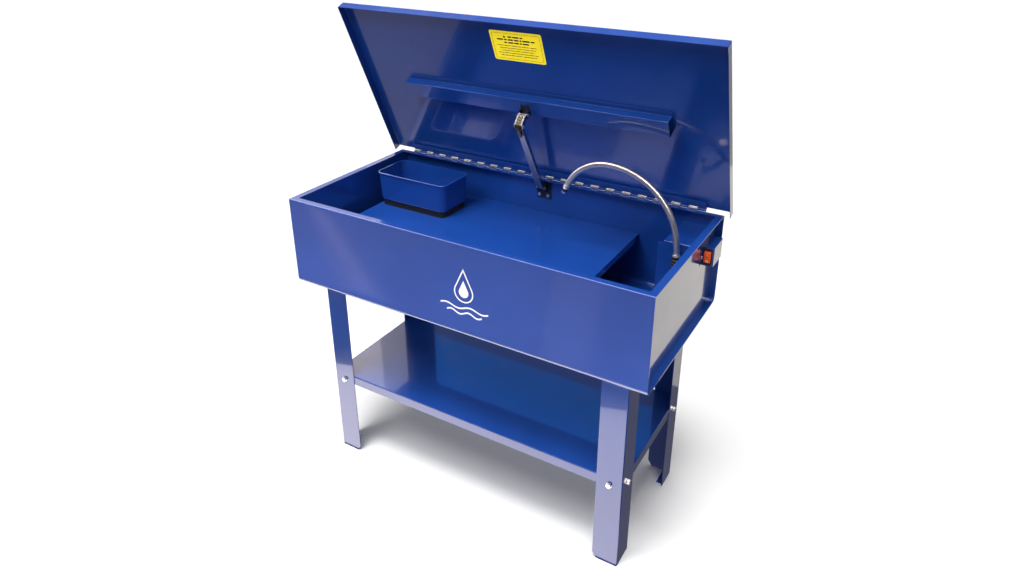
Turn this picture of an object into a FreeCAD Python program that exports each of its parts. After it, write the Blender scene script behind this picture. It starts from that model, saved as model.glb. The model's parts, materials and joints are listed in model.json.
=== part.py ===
import FreeCAD, Part
import math
import os

# Parts washer: a sheet-steel tank on four angle legs, with a hinged lid held up by a folding stay,
# a work shelf and basket inside, a submersible pump under a cover, and a gooseneck spout.
# Millimetres. +X is to the right, +Y to the back, +Z up. The origin is on the floor, under the
# middle of the tank. The lid and what is on it are modelled closed and then opened as one.

os.makedirs("parts", exist_ok=True)
V = FreeCAD.Vector
X_AXIS = V(1, 0, 0)
Y_AXIS = V(0, 1, 0)
Z_AXIS = V(0, 0, 1)

# Driving dimensions
TANK_WIDTH = 1120.0
TANK_DEPTH = 528.0
TANK_HEIGHT = 270.0
RIM_Z = 896.0
LID_OPEN_ANGLE = 66.3
SHEET = 1.5
LEG_SHEET = 2.0
OVERCUT = 1.0
NEAR = 0.01

# Tank
TANK_X = TANK_WIDTH / 2
TANK_Y = TANK_DEPTH / 2
FLOOR_Z = RIM_Z - TANK_HEIGHT
WALL_Y = TANK_Y - SHEET
RIM_FLANGE = 20.0
RIM_GAP = 0.2
BOTTOM_BEND = 13.5
TIGHT_BEND = 1.5
END_RECESS = 18.0
END_X = TANK_X - END_RECESS
END_FLANGE = 18.0
END_FLANGE_STOP = 12.0

# Inside the tank
SHELF_TOP = RIM_Z - 113.0
SHELF_LEFT = -497.0
SHELF_RIGHT = 316.0
SHELF_FRONT = -250.0
SHELF_REAR = 262.0
SHELF_LIP = 20.0
SHELF_BEND = 1.3
LEDGE_WIDTH = 25.0
LEDGE_DROP = 18.0
LEDGE_END_GAP = 3.0
LIP_END_GAP = 1.0

BASKET_X = -366.0
BASKET_Y = 118.0
BASKET_RIM_SIZE = (260.0, 140.0)
BASKET_BASE_SIZE = (251.0, 134.0)
BASKET_CORNER = 20.0
BASKET_TOP = RIM_Z - 3.0
BASKET_BOTTOM = RIM_Z - 95.0
BASKET_SHEET = 1.2
BASKET_BEAD = 5.0
BASKET_BEAD_OUT = 2.5
BASKET_BEAD_EDGE = 1.9
BASKET_FOOT_BEND = 6.5
RING_INSET = 4.0
RING_WALL = 9.0
RING_GAP = 0.2

# Lid, measured closed
HINGE_R = 4.0
HINGE_Y = TANK_Y
HINGE_Z = RIM_Z + HINGE_R
HINGE_PITCH = 25.4
HINGE_KNUCKLES = 40
HINGE_LENGTH = HINGE_PITCH * HINGE_KNUCKLES
KNUCKLE_GAP = 0.4
LEAF_SHEET = 1.2
LEAF_FRONT = 240.0
LEAF_NOTCH = 4.6
NOTCH_GAP = 0.2
PIN_R = 1.5
PIN_HOLE_R = 1.56
LID_OVERHANG = 20.0
LID_LENGTH = 551.5
LID_FLANGE = 27.3
LID_TOP = HINGE_Z + 11.4
LID_REAR = HINGE_Y - 1.6
LID_FRONT = LID_REAR - LID_LENGTH
LID_X = TANK_X + LID_OVERHANG
LID_UNDER = LID_TOP - SHEET
LID_RETURN_FRONT = 238.0
LID_RETURN_Z = HINGE_Z + HINGE_R
STIFFENER_X = 424.0
STIFFENER_REAR = LID_REAR - 257.0
STIFFENER_FACE = 48.0
STIFFENER_DEPTH = 25.0
STIFFENER_FLANGE = 15.0
STIFFENER_SHEET = 1.2
LABEL_X = 80.0
LABEL_FAR = 511.0
LABEL_NEAR = 418.0
LABEL_THICK = 0.4
LABEL_CORNER = 6.0
RIVET_PITCH = 4 * HINGE_PITCH
RIVET_COUNT = 10
RIVET_Y = 248.0
RIVET_R = 2.0
RIVET_HEAD_R = 4.0
RIVET_HEAD = 1.3
RIVET_CROWN_R = 2.4
RIVET_TAIL_R = 3.4

# Stay: a parallelogram with the lid's hinge as its fourth corner
STAY_X = -4.0
STAY_WALL_PIVOT = (HINGE_Y - 24.0, HINGE_Z - 28.0)
STAY_LID_REACH = (-268.0, -31.0)
STAY_PIN_R = 3.0
STAY_PIN_HOLE_R = 3.06
STAY_OPEN_HOLE_R = 3.4
ARM_HALF_WIDTH = 10.0
ARM_HALF_DEPTH = 6.0
ARM_SHEET = 2.0
WEB_INSET = 2.0
LINK_GAP = 10.5
LINK_SHEET = 2.0
LINK_EYE_R = 7.0
LINK_WEB = 9.0
BRACKET_SHEET = 2.0
BRACKET_EYE_R = 8.0
LID_EAR_GAP = 13.0
WALL_EAR_GAP = 10.6
WALL_EAR_FOOT = 20.0
WALL_PLATE_HALF_WIDTH = 25.0
WALL_PLATE_TOP = RIM_Z - 12.0
WALL_PLATE_BOTTOM = RIM_Z - 64.0
WALL_BOLT_Z = RIM_Z - 53.0
WALL_BOLT_X = 15.0
WALL_BOLT_R = 3.0
FUSE_HALF_WIDTH = 7.0
FUSE_SHEET = 2.0
FUSE_ON_LINK = 10.0
FUSE_PAST_ELBOW = 2.0
FUSE_BULGE_ANGLE = 75.0
FUSE_ON_ARM = 34.0
STAY_PIN_HEAD = 2.0
STAY_PIN_HEAD_R = 5.0
LID_PLATE_REACH = 22.0
M6_HEAD = 4.0
M6_NUT = 5.0
M6_ACROSS = 10.0
M6_LENGTH = 11.0

# Pump, cover and spout
COVER_LEFT = 445.0
COVER_FRONT = 105.0
COVER_TOP = RIM_Z - 38.0
COVER_FLANGE = 15.0
COVER_SHEET = 1.5
COVER_GAP = 0.5
COVER_FLANGE_DROP = 8.0
INLET_COUNT = 6
INLET_PITCH = 12.0
INLET_HEIGHT = 4.0
INLET_START = 14.0
INLET_MARGIN = 20.0
PUMP_X = 490.0
PUMP_Y = 185.0
PUMP_HALF_X = 38.0
PUMP_HALF_Y = 46.0
PUMP_BASE_HEIGHT = 26.0
PUMP_HEIGHT = 96.0
PUMP_CORNER = 14.0
PUMP_SHOULDER = 8.0
STUB_R = 12.0
STUB_HEIGHT = 10.0
STRAINER_EDGE = 3.0
STRAINER_SLOTS_EACH_WAY = 4
STRAINER_PITCH = 9.0
STRAINER_SLOT_HALF = 1.5
STRAINER_SLOT_Z = (5.0, 15.0)
SPOUT_X = 490.0
SPOUT_Y = 84.0
OUTLET_Y = 150.0
OUTLET_Z = RIM_Z - 118.0
OUTLET_R = 9.0
OUTLET_BEND = 16.0
OUTLET_END_Y = 116.0
ELBOW_R = 10.0
BULKHEAD_ACROSS = 27.0
BULKHEAD_NUT = 5.0
FITTING_BOTTOM = RIM_Z - 100.0
FITTING_TOP = RIM_Z - 62.0
FITTING_STEPS = (
    (0.0, 0.36, 13.0),
    (0.36, 0.5, 10.0),
    (0.5, 0.86, 12.0),
    (0.86, 1.0, 9.0),
)
NECK_R = 8.0
NECK_BASE_Z = RIM_Z - 52.0
NECK_LEAN = 9.0
NECK_RISE = 34.0
NECK_ARCH_R = 202.0
NECK_TIP_R = 133.0
NECK_TIP_TURN = 65.0
NECK_TAIL = 6.0
FERRULE_R = 9.5
FERRULE_LENGTH = 9.0
NOZZLE_R = 7.0
NOZZLE_BORE = 4.0
NOZZLE_LENGTH = 17.0
NOZZLE_NOSE_R = 5.2
CABLE_R = 3.5
CABLE_Y = 196.0
CABLE_Z = RIM_Z - 80.0
CABLE_BEND = 16.0
CABLE_PUMP_X = 505.0
CABLE_END_X = 552.0
GROMMET_R = 9.0
GROMMET_WAIST_R = 6.5
GROMMET_LIP = 2.5

# Switch box on the right end panel
SWITCH_X1 = 572.0
SWITCH_Y0 = 150.0
SWITCH_Y1 = 230.0
SWITCH_Z0 = RIM_Z - 107.0
SWITCH_Z1 = RIM_Z - 52.0
SWITCH_SHEET = 1.2
SWITCH_CORNER = 5.0
SWITCH_FLANGE = 22.0
SWITCH_FLANGE_INSET = 6.0
SCREW_R = 2.5
SCREW_REACH = 13.0
SCREW_HEAD_R = 4.8
SCREW_HEAD = 2.8
SCREW_POINT = 6.0
SWITCH_MID_X = 556.0
SWITCH_MID_Z = (SWITCH_Z0 + SWITCH_Z1) / 2
BEZEL_HALF_X = 12.5
BEZEL_HALF_Z = 23.5
BEZEL_THICK = 2.0
SLEEVE_HALF_X = 10.5
SLEEVE_HALF_Z = 20.0
SLEEVE_DEPTH = 22.0
SLEEVE_END = 2.0
ROCKER_HALF_X = 8.5
ROCKER_R = 17.0
ROCKER_GAP = 0.4
ROCKER_PROUD = 6.0
ROCKER_TILT = 8.0
ROCKER_DISH = 2.2
ROCKER_BACK = 6.0
ROCKER_PIVOT_IN = 2.0
GLAND_R = 8.0
GLAND_BORE_R = 4.0
GLAND_NUT = 6.0
GLAND_ACROSS = 20.0
GLAND_DOME_R = 8.5
GLAND_DOME = 9.0

# Legs and lower shelf
LEG_X = 498.4
LEG_Y = 214.8
LEG_FLANGE = 75.0
LEG_CHAMFER = 12.0
LEG_CHAMFER_RISE = 19.0
FOOT_WIDTH = 22.0
FOOT_Y = (10.0, 65.0)
TAB_DEPTH = 35.0
FRONT_TAB = (28.0, 70.0)
SIDE_TAB = (40.0, 73.0)
FRONT_STUD_IN = 20.5
SIDE_STUD_IN = 18.5
STUD_R = 4.0
STUD_HOLE_R = 4.5
STUD_LENGTH = 20.0
SHELF2_TOP = 295.7
SHELF2_LIP = 30.0
SHELF2_CORNER = 4.0
SHELF2_BEND = 2.5
BOLT_R = 4.0
BOLT_HOLE_R = 4.5
BOLT_LENGTH = 18.0
BOLT_Z = SHELF2_TOP - 20.7
HEX_HEAD = 5.3
HEX_NUT = 6.5
HEX_ACROSS = 13.0
WASHER_R = 8.0
WASHER_THICK = 1.6
FLANGED_NUT = 7.5

# Drain
DRAIN_X = 420.0
DRAIN_Y = -60.0
DRAIN_R = 13.0
BUNG_R = 22.0
BUNG_HEIGHT = 14.0
SEAL_R = 19.0
PLUG_HEAD = 12.0
PLUG_ACROSS = 32.0


# Shared helpers

def save(name, shape):
    """Write one node's STEP file."""
    if not shape.isValid():
        print("not valid:", name)
    shape.exportStep(f"parts/{name}.step")


def box(x0, x1, y0, y1, z0, z1):
    """Block between two opposite corners."""
    return Part.makeBox(x1 - x0, y1 - y0, z1 - z0, V(x0, y0, z0))


def rod(start, axis, radius, length):
    """Cylinder from start along axis."""
    return Part.makeCylinder(radius, length, V(*start), axis)


def hexagon(start, axis, across, length):
    """Hexagonal prism from start along axis, with its flats across apart."""
    corner_r = across / math.sqrt(3)
    points = []
    for step in range(7):
        turn = math.radians(60 * step)
        points.append(V(corner_r * math.cos(turn), corner_r * math.sin(turn), 0))
    prism = Part.Face(Part.makePolygon(points)).extrude(V(0, 0, length))
    prism.Placement = FreeCAD.Placement(V(*start), FreeCAD.Rotation(Z_AXIS, axis))
    return prism


def rounded_wire(points, radii):
    """Closed wire through the points, each corner rounded by an arc of its own radius."""
    count = len(points)
    corners = []
    for i, corner in enumerate(points):
        if radii[i] == 0:
            corners.append((corner, None, corner))
            continue
        back = (points[i - 1] - corner).normalize()
        ahead = (points[(i + 1) % count] - corner).normalize()
        half = back.getAngle(ahead) / 2
        reach = radii[i] / math.tan(half)
        inward = (back + ahead).normalize()
        middle = corner + inward * (radii[i] / math.sin(half) - radii[i])
        corners.append((corner + back * reach, middle, corner + ahead * reach))
    edges = []
    for i, (start, middle, end) in enumerate(corners):
        if middle is not None:
            edges.append(Part.Arc(start, middle, end).toShape())
        following = corners[(i + 1) % count][0]
        if end.distanceToPoint(following) > NEAR:
            edges.append(Part.LineSegment(end, following).toShape())
    return Part.Wire(edges)


def rounded_plate(x0, x1, y0, y1, z0, z1, corner):
    """Flat plate with its four upright edges rounded."""
    points = [V(x0, y0, z0), V(x1, y0, z0), V(x1, y1, z0), V(x0, y1, z0)]
    return Part.Face(rounded_wire(points, [corner] * 4)).extrude(V(0, 0, z1 - z0))


def sheet_outline(path, sheet, bends):
    """Corner points and radii of a sheet folded along a 2-D path, the sheet lying to its left."""
    normals = []
    for (u0, v0), (u1, v1) in zip(path, path[1:]):
        length = math.hypot(u1 - u0, v1 - v0)
        normals.append((-(v1 - v0) / length, (u1 - u0) / length))
    far_side = []
    near_radii = []
    far_radii = []
    for i, (u, v) in enumerate(path):
        first = normals[max(i - 1, 0)]
        second = normals[min(i, len(normals) - 1)]
        scale = sheet / (1 + first[0] * second[0] + first[1] * second[1])
        far_side.append((u + (first[0] + second[0]) * scale, v + (first[1] + second[1]) * scale))
        bend = bends[i - 1] if 0 < i < len(path) - 1 else 0
        turn = first[0] * second[1] - first[1] * second[0]
        near_radii.append(bend + sheet if bend and turn > 0 else bend)
        far_radii.append(bend + sheet if bend and turn < 0 else bend)
    return path + far_side[::-1], near_radii + far_radii[::-1]


def folded_along_x(path, sheet, bends, x0, x1):
    """Folded sheet whose section, a path of (y, z) points, runs from x0 to x1."""
    points, radii = sheet_outline(path, sheet, bends)
    wire = rounded_wire([V(x0, y, z) for y, z in points], radii)
    return Part.Face(wire).extrude(V(x1 - x0, 0, 0))


def folded_along_z(path, sheet, bends, z0, z1):
    """Folded sheet whose section, a path of (x, y) points, runs from z0 to z1."""
    points, radii = sheet_outline(path, sheet, bends)
    wire = rounded_wire([V(x, y, z0) for x, y in points], radii)
    return Part.Face(wire).extrude(V(0, 0, z1 - z0))


def tube_along(edges, radius):
    """Round bar swept along edges that meet at tangents."""
    wire = Part.Wire(edges)
    start = wire.OrderedVertexes[0].Point
    direction = edges[0].tangentAt(edges[0].FirstParameter)
    section = Part.Wire(Part.makeCircle(radius, start, direction))
    return wire.makePipeShell([section], True, True)


def opened(shape):
    """The closed lid's shape, turned up about the hinge."""
    return shape.rotated(V(0, HINGE_Y, HINGE_Z), X_AXIS, -LID_OPEN_ANGLE)


def near(value, target):
    """True where two lengths are the same to within rounding."""
    return abs(value - target) < NEAR


def mirrored_x(shape):
    """The same shape on the other side of the middle."""
    return shape.mirror(V(0, 0, 0), X_AXIS)


def mirrored_y(shape):
    """The same shape at the other side from front to back."""
    return shape.mirror(V(0, 0, 0), Y_AXIS)


def four_ways(shape):
    """A shape at the front left, and its mirror images at the other three corners."""
    left = [shape, mirrored_y(shape)]
    return left + [mirrored_x(s) for s in left]


# Tank shell

def hinge_rivet_places(shift):
    """The x of each rivet of one leaf."""
    first = -RIVET_PITCH * (RIVET_COUNT - 1) / 2 + shift
    return [first + RIVET_PITCH * i for i in range(RIVET_COUNT)]


def rivet_hole(x, low, thick):
    """Cutter for one rivet through a sheet whose underside is at low."""
    return rod((x, RIVET_Y, low - OVERCUT), Z_AXIS, RIVET_R, thick + 2 * OVERCUT)


def leg_stud_places():
    """The (x, y) of the two studs of the front left leg."""
    front_x = -LEG_X + sum(FRONT_TAB) / 2
    side_y = -LEG_Y + sum(SIDE_TAB) / 2
    return [(front_x, -LEG_Y + FRONT_STUD_IN), (-LEG_X + SIDE_STUD_IN, side_y)]


def make_tank_wrap():
    """Front, bottom and back of the tank, one sheet, with flanges turned in along the rim."""
    path = [
        (RIM_FLANGE - TANK_Y, RIM_Z),
        (-TANK_Y, RIM_Z),
        (-TANK_Y, FLOOR_Z),
        (TANK_Y, FLOOR_Z),
        (TANK_Y, RIM_Z),
        (TANK_Y - RIM_FLANGE, RIM_Z),
    ]
    bends = [TIGHT_BEND, BOTTOM_BEND, BOTTOM_BEND, TIGHT_BEND]
    wrap = folded_along_x(path, SHEET, bends, -TANK_X, TANK_X)
    holes = [rod((DRAIN_X, DRAIN_Y, FLOOR_Z - OVERCUT), Z_AXIS, DRAIN_R, SHEET + 2 * OVERCUT)]
    for x in hinge_rivet_places(-HINGE_PITCH):
        holes.append(rivet_hole(x, RIM_Z - SHEET, SHEET))
    for side in (-1, 1):
        start = (STAY_X + side * WALL_BOLT_X, WALL_Y - OVERCUT, WALL_BOLT_Z)
        holes.append(rod(start, Y_AXIS, WALL_BOLT_R, SHEET + 2 * OVERCUT))
    return wrap.cut(Part.makeCompound(holes))


def end_outline(inset, x):
    """Face of the end panel's outline, drawn in from the tank's walls by inset."""
    y = WALL_Y - inset
    bottom = FLOOR_Z + SHEET + inset
    top = RIM_Z - SHEET
    corner = BOTTOM_BEND - inset
    points = [V(x, -y, bottom), V(x, y, bottom), V(x, y, top), V(x, -y, top)]
    return Part.Face(rounded_wire(points, [corner, corner, TIGHT_BEND, TIGHT_BEND]))


def make_end_panel():
    """Recessed right end of the tank: a plate with all four edges folded outward."""
    plate = end_outline(0, END_X - SHEET).extrude(V(SHEET, 0, 0))
    tray = end_outline(0, END_X).extrude(V(END_FLANGE, 0, 0))
    hollow = end_outline(SHEET, END_X).extrude(V(END_FLANGE, 0, 0))
    above = box(END_X, TANK_X, -TANK_Y, TANK_Y, RIM_Z - END_FLANGE_STOP, RIM_Z)
    edge = tray.cut(hollow).cut(above)
    rim_y = TANK_Y - RIM_FLANGE - RIM_GAP
    rim = box(END_X - SHEET, TANK_X, -rim_y, rim_y, RIM_Z - SHEET, RIM_Z)
    return plate.fuse([edge, rim]).removeSplitter()


def make_shelf_ledge():
    """Front angle strip that the work shelf rests on."""
    top = SHELF_TOP - SHEET
    path = [(LEDGE_WIDTH - WALL_Y, top), (-WALL_Y, top), (-WALL_Y, top - LEDGE_DROP)]
    return folded_along_x(path, SHEET, [TIGHT_BEND], SHELF_LEFT + LEDGE_END_GAP,
                          SHELF_RIGHT - LEDGE_END_GAP)


def make_work_shelf():
    """Removable shelf in the tank, with its two ends turned down."""
    top = box(SHELF_LEFT, SHELF_RIGHT, SHELF_FRONT, SHELF_REAR, SHELF_TOP - SHEET, SHELF_TOP)
    lip_y = WALL_Y - LEDGE_WIDTH - LIP_END_GAP
    lips = [
        box(x, x + SHEET, -lip_y, lip_y, SHELF_TOP - SHELF_LIP, SHELF_TOP - SHEET)
        for x in (SHELF_LEFT, SHELF_RIGHT - SHEET)
    ]
    shelf = top.fuse(lips).removeSplitter()
    bends = [edge for edge in shelf.Edges if is_shelf_end(edge)]
    return shelf.makeFillet(SHELF_BEND, bends)


def is_shelf_end(edge):
    """True for the top edge at either end of the work shelf."""
    middle = edge.CenterOfMass
    at_end = near(middle.x, SHELF_LEFT) or near(middle.x, SHELF_RIGHT)
    return at_end and near(middle.z, SHELF_TOP)


def make_drain_bung():
    """Threaded ring welded under the tank's floor."""
    ring = rod((DRAIN_X, DRAIN_Y, FLOOR_Z - BUNG_HEIGHT), Z_AXIS, BUNG_R, BUNG_HEIGHT)
    bore = rod((DRAIN_X, DRAIN_Y, FLOOR_Z - BUNG_HEIGHT), Z_AXIS, DRAIN_R, BUNG_HEIGHT)
    return ring.cut(bore)


def make_drain_washer():
    """Sealing washer between bung and plug."""
    z = FLOOR_Z - BUNG_HEIGHT - WASHER_THICK
    ring = rod((DRAIN_X, DRAIN_Y, z), Z_AXIS, SEAL_R, WASHER_THICK)
    return ring.cut(rod((DRAIN_X, DRAIN_Y, z), Z_AXIS, DRAIN_R, WASHER_THICK))


def make_drain_plug():
    """Hexagon-headed plug, screwed into the bung."""
    head_top = FLOOR_Z - BUNG_HEIGHT - WASHER_THICK
    head = hexagon((DRAIN_X, DRAIN_Y, head_top - PLUG_HEAD), Z_AXIS, PLUG_ACROSS, PLUG_HEAD)
    shank_length = BUNG_HEIGHT + WASHER_THICK + SHEET
    shank = rod((DRAIN_X, DRAIN_Y, head_top), Z_AXIS, DRAIN_R, shank_length)
    return head.fuse(shank)


# Basket

def basket_ring(size, shrink, z):
    """Rounded rectangle about the basket's middle, for a given rim or base size."""
    half_x = size[0] / 2 - shrink
    half_y = size[1] / 2 - shrink
    points = [
        V(BASKET_X - half_x, BASKET_Y - half_y, z),
        V(BASKET_X + half_x, BASKET_Y - half_y, z),
        V(BASKET_X + half_x, BASKET_Y + half_y, z),
        V(BASKET_X - half_x, BASKET_Y + half_y, z),
    ]
    return rounded_wire(points, [BASKET_CORNER - shrink] * 4)


def make_basket():
    """Tapered tray with rounded corners and a bead round its rim."""
    outer = Part.makeLoft([
        basket_ring(BASKET_BASE_SIZE, 0, BASKET_BOTTOM),
        basket_ring(BASKET_RIM_SIZE, 0, BASKET_TOP),
    ], True, True)
    foot = [e for e in outer.Edges if near(e.BoundBox.ZMax, BASKET_BOTTOM)]
    outer = outer.makeFillet(BASKET_FOOT_BEND, foot)
    inner = Part.makeLoft([
        basket_ring(BASKET_BASE_SIZE, BASKET_SHEET, BASKET_BOTTOM + BASKET_SHEET),
        basket_ring(BASKET_RIM_SIZE, BASKET_SHEET, BASKET_TOP + BASKET_SHEET),
    ], True, True)
    floor = [e for e in inner.Edges if near(e.BoundBox.ZMax, BASKET_BOTTOM + BASKET_SHEET)]
    inner = inner.makeFillet(BASKET_FOOT_BEND - BASKET_SHEET, floor)
    bead_wire = basket_ring(BASKET_RIM_SIZE, -BASKET_BEAD_OUT, BASKET_TOP - BASKET_BEAD)
    bead = Part.Face(bead_wire).extrude(V(0, 0, BASKET_BEAD))
    bead_edges = [e for e in bead.Edges if near(e.BoundBox.ZLength, 0)]
    bead = bead.makeFillet(BASKET_BEAD_EDGE, bead_edges)
    return outer.fuse(bead).cut(inner)


def make_basket_base_ring():
    """Rubber ring under the basket that it slides on."""
    low = SHELF_TOP + RING_GAP
    outer = Part.Face(basket_ring(BASKET_BASE_SIZE, RING_INSET, low))
    hole = Part.Face(basket_ring(BASKET_BASE_SIZE, RING_INSET + RING_WALL, low))
    return outer.cut(hole).extrude(V(0, 0, BASKET_BOTTOM - low))


# Hinge and lid

def make_leaf(low, high, first_knuckle):
    """One leaf of the hinge, lying flat, with every second knuckle starting at first_knuckle."""
    left = -HINGE_LENGTH / 2
    leaf = box(left, -left, LEAF_FRONT, HINGE_Y, low, high)
    notches = []
    knuckles = []
    for i in range(HINGE_KNUCKLES):
        x = left + i * HINGE_PITCH
        if i % 2 == first_knuckle:
            start = (x + KNUCKLE_GAP / 2, HINGE_Y, HINGE_Z)
            knuckles.append(rod(start, X_AXIS, HINGE_R, HINGE_PITCH - KNUCKLE_GAP))
        else:
            notches.append(box(x - NOTCH_GAP, x + HINGE_PITCH + NOTCH_GAP, HINGE_Y - LEAF_NOTCH,
                               HINGE_Y + OVERCUT, low - OVERCUT, high + OVERCUT))
    bore = rod((left, HINGE_Y, HINGE_Z), X_AXIS, PIN_HOLE_R, HINGE_LENGTH)
    return leaf.cut(Part.makeCompound(notches)).fuse(knuckles).cut(bore)


def make_hinge_leaf_tank():
    """Leaf that lies on the tank's rear rim flange."""
    leaf = make_leaf(RIM_Z, RIM_Z + LEAF_SHEET, 0)
    holes = [rivet_hole(x, RIM_Z, LEAF_SHEET) for x in hinge_rivet_places(-HINGE_PITCH)]
    return leaf.cut(Part.makeCompound(holes))


def make_hinge_leaf_lid():
    """Leaf under the lid's rear return flange."""
    leaf = make_leaf(LID_RETURN_Z - LEAF_SHEET, LID_RETURN_Z, 1)
    low = LID_RETURN_Z - LEAF_SHEET
    holes = [rivet_hole(x, low, LEAF_SHEET) for x in hinge_rivet_places(HINGE_PITCH)]
    return opened(leaf.cut(Part.makeCompound(holes)))


def make_hinge_pin():
    """Pin through all the knuckles."""
    return rod((-HINGE_LENGTH / 2, HINGE_Y, HINGE_Z), X_AXIS, PIN_R, HINGE_LENGTH)


def make_rivet(x, head_z, up, grip):
    """Rivet at x with its head on head_z, its shank going the other way through grip."""
    head_axis = Z_AXIS if up else V(0, 0, -1)
    shank_axis = V(0, 0, -1) if up else Z_AXIS
    tail_z = head_z - grip if up else head_z + grip
    head = Part.makeCone(RIVET_HEAD_R, RIVET_CROWN_R, RIVET_HEAD, V(x, RIVET_Y, head_z),
                         head_axis)
    shank = rod((x, RIVET_Y, head_z), shank_axis, RIVET_R, grip)
    tail = rod((x, RIVET_Y, tail_z), shank_axis, RIVET_TAIL_R, RIVET_HEAD)
    return head.fuse([shank, tail])


def make_hinge_rivets_tank():
    """Rivets through the tank's leaf and rim flange."""
    top = RIM_Z + LEAF_SHEET
    grip = LEAF_SHEET + SHEET
    places = hinge_rivet_places(-HINGE_PITCH)
    return Part.makeCompound([make_rivet(x, top, True, grip) for x in places])


def make_hinge_rivets_lid():
    """Rivets through the lid's leaf and return flange."""
    bottom = LID_RETURN_Z - LEAF_SHEET
    grip = LEAF_SHEET + SHEET
    places = hinge_rivet_places(HINGE_PITCH)
    return opened(Part.makeCompound([make_rivet(x, bottom, False, grip) for x in places]))


def make_lid():
    """Pan with its front and sides folded down and a hinge flange returned under its back."""
    low = LID_TOP - LID_FLANGE
    outer = box(-LID_X, LID_X, LID_FRONT, LID_REAR, low, LID_TOP)
    outer = outer.makeFillet(TIGHT_BEND + SHEET, pan_bends(outer, LID_FRONT, LID_TOP, LID_X))
    inner_x = LID_X - SHEET
    inner = box(-inner_x, inner_x, LID_FRONT + SHEET, LID_REAR + OVERCUT, low - OVERCUT, LID_UNDER)
    bends = pan_bends(inner, LID_FRONT + SHEET, LID_UNDER, inner_x)
    pan = outer.cut(inner.makeFillet(TIGHT_BEND, bends))
    path = [(LID_RETURN_FRONT, LID_RETURN_Z), (LID_REAR, LID_RETURN_Z), (LID_REAR, LID_UNDER)]
    half = HINGE_LENGTH / 2
    back = folded_along_x(path, SHEET, [TIGHT_BEND / 2], -half, half)
    holes = [rivet_hole(x, LID_RETURN_Z, SHEET) for x in hinge_rivet_places(HINGE_PITCH)]
    back = back.cut(Part.makeCompound(holes))
    return opened(pan.fuse(back))


def pan_bends(pan, front, top, half_x):
    """The front and side bends of a pan: its top edges but the rear one, and its front corners."""
    bends = []
    for edge in pan.Edges:
        middle = edge.CenterOfMass
        at_front = near(middle.y, front)
        at_side = near(abs(middle.x), half_x)
        at_top = near(middle.z, top)
        if (at_top and (at_front or at_side)) or (at_front and at_side):
            bends.append(edge)
    return bends


def make_lid_stiffener():
    """Hat section welded across the inside of the lid."""
    rear = STIFFENER_REAR
    front = rear - STIFFENER_FACE
    face_z = LID_UNDER - STIFFENER_DEPTH
    path = [
        (rear + STIFFENER_FLANGE, LID_UNDER),
        (rear, LID_UNDER),
        (rear, face_z),
        (front, face_z),
        (front, LID_UNDER),
        (front - STIFFENER_FLANGE, LID_UNDER),
    ]
    bends = [TIGHT_BEND] * 4
    return opened(folded_along_x(path, STIFFENER_SHEET, bends, -STIFFENER_X, STIFFENER_X))


def make_lid_label():
    """Label plate on the inside of the lid."""
    plate = rounded_plate(-LABEL_X, LABEL_X, LID_REAR - LABEL_FAR, LID_REAR - LABEL_NEAR,
                          LID_UNDER - LABEL_THICK, LID_UNDER, LABEL_CORNER)
    return opened(plate)


# Stay

STIFFENER_OUT_Z = LID_UNDER - STIFFENER_DEPTH - STIFFENER_SHEET
LID_PIVOT_CLOSED = (HINGE_Y + STAY_LID_REACH[0], HINGE_Z + STAY_LID_REACH[1])
OPEN_COS = math.cos(math.radians(LID_OPEN_ANGLE))
OPEN_SIN = math.sin(math.radians(LID_OPEN_ANGLE))
ARM_RUN = (
    STAY_LID_REACH[0] * OPEN_COS + STAY_LID_REACH[1] * OPEN_SIN,
    STAY_LID_REACH[1] * OPEN_COS - STAY_LID_REACH[0] * OPEN_SIN,
)
LID_PIVOT = (HINGE_Y + ARM_RUN[0], HINGE_Z + ARM_RUN[1])
ELBOW = (STAY_WALL_PIVOT[0] + ARM_RUN[0], STAY_WALL_PIVOT[1] + ARM_RUN[1])
ARM_LENGTH = math.hypot(*ARM_RUN)
ARM_ANGLE = math.degrees(math.atan2(ARM_RUN[1], ARM_RUN[0]))
LINK_RUN = (LID_PIVOT[0] - ELBOW[0], LID_PIVOT[1] - ELBOW[1])
LINK_LENGTH = math.hypot(*LINK_RUN)
LINK_ANGLE = math.degrees(math.atan2(LINK_RUN[1], LINK_RUN[0]))


def placed(shape, origin, angle):
    """A shape drawn along +Y from the origin of its own frame, put at a (y, z) and turned."""
    turned = shape.rotated(V(0, 0, 0), X_AXIS, angle)
    return turned.translated(V(STAY_X, origin[0], origin[1]))


def capsule(x0, x1, length, radius):
    """Flat bar with round ends about the origin and the point length along +Y."""
    bar = box(x0, x1, 0, length, -radius, radius)
    ends = [rod((x0, y, 0), X_AXIS, radius, x1 - x0) for y in (0, length)]
    return bar.fuse(ends).removeSplitter()


def cross_hole(y, radius):
    """Cylinder across the stay at y along it."""
    return rod((-WALL_PLATE_HALF_WIDTH, y, 0), X_AXIS, radius, 2 * WALL_PLATE_HALF_WIDTH)


def make_stay_arm():
    """Channel from the wall bracket to the elbow, its web to the front."""
    inner = ARM_HALF_WIDTH - ARM_SHEET
    sides = [
        capsule(-ARM_HALF_WIDTH, -inner, ARM_LENGTH, ARM_HALF_DEPTH),
        capsule(inner, ARM_HALF_WIDTH, ARM_LENGTH, ARM_HALF_DEPTH),
    ]
    web_low = ARM_HALF_DEPTH - ARM_SHEET
    web = box(-inner, inner, WEB_INSET, ARM_LENGTH - WEB_INSET, web_low, ARM_HALF_DEPTH)
    arm = web.fuse(sides).removeSplitter()
    arm = arm.cut(cross_hole(0, STAY_PIN_HOLE_R)).cut(cross_hole(ARM_LENGTH, STAY_OPEN_HOLE_R))
    return placed(arm, STAY_WALL_PIVOT, ARM_ANGLE)


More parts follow.
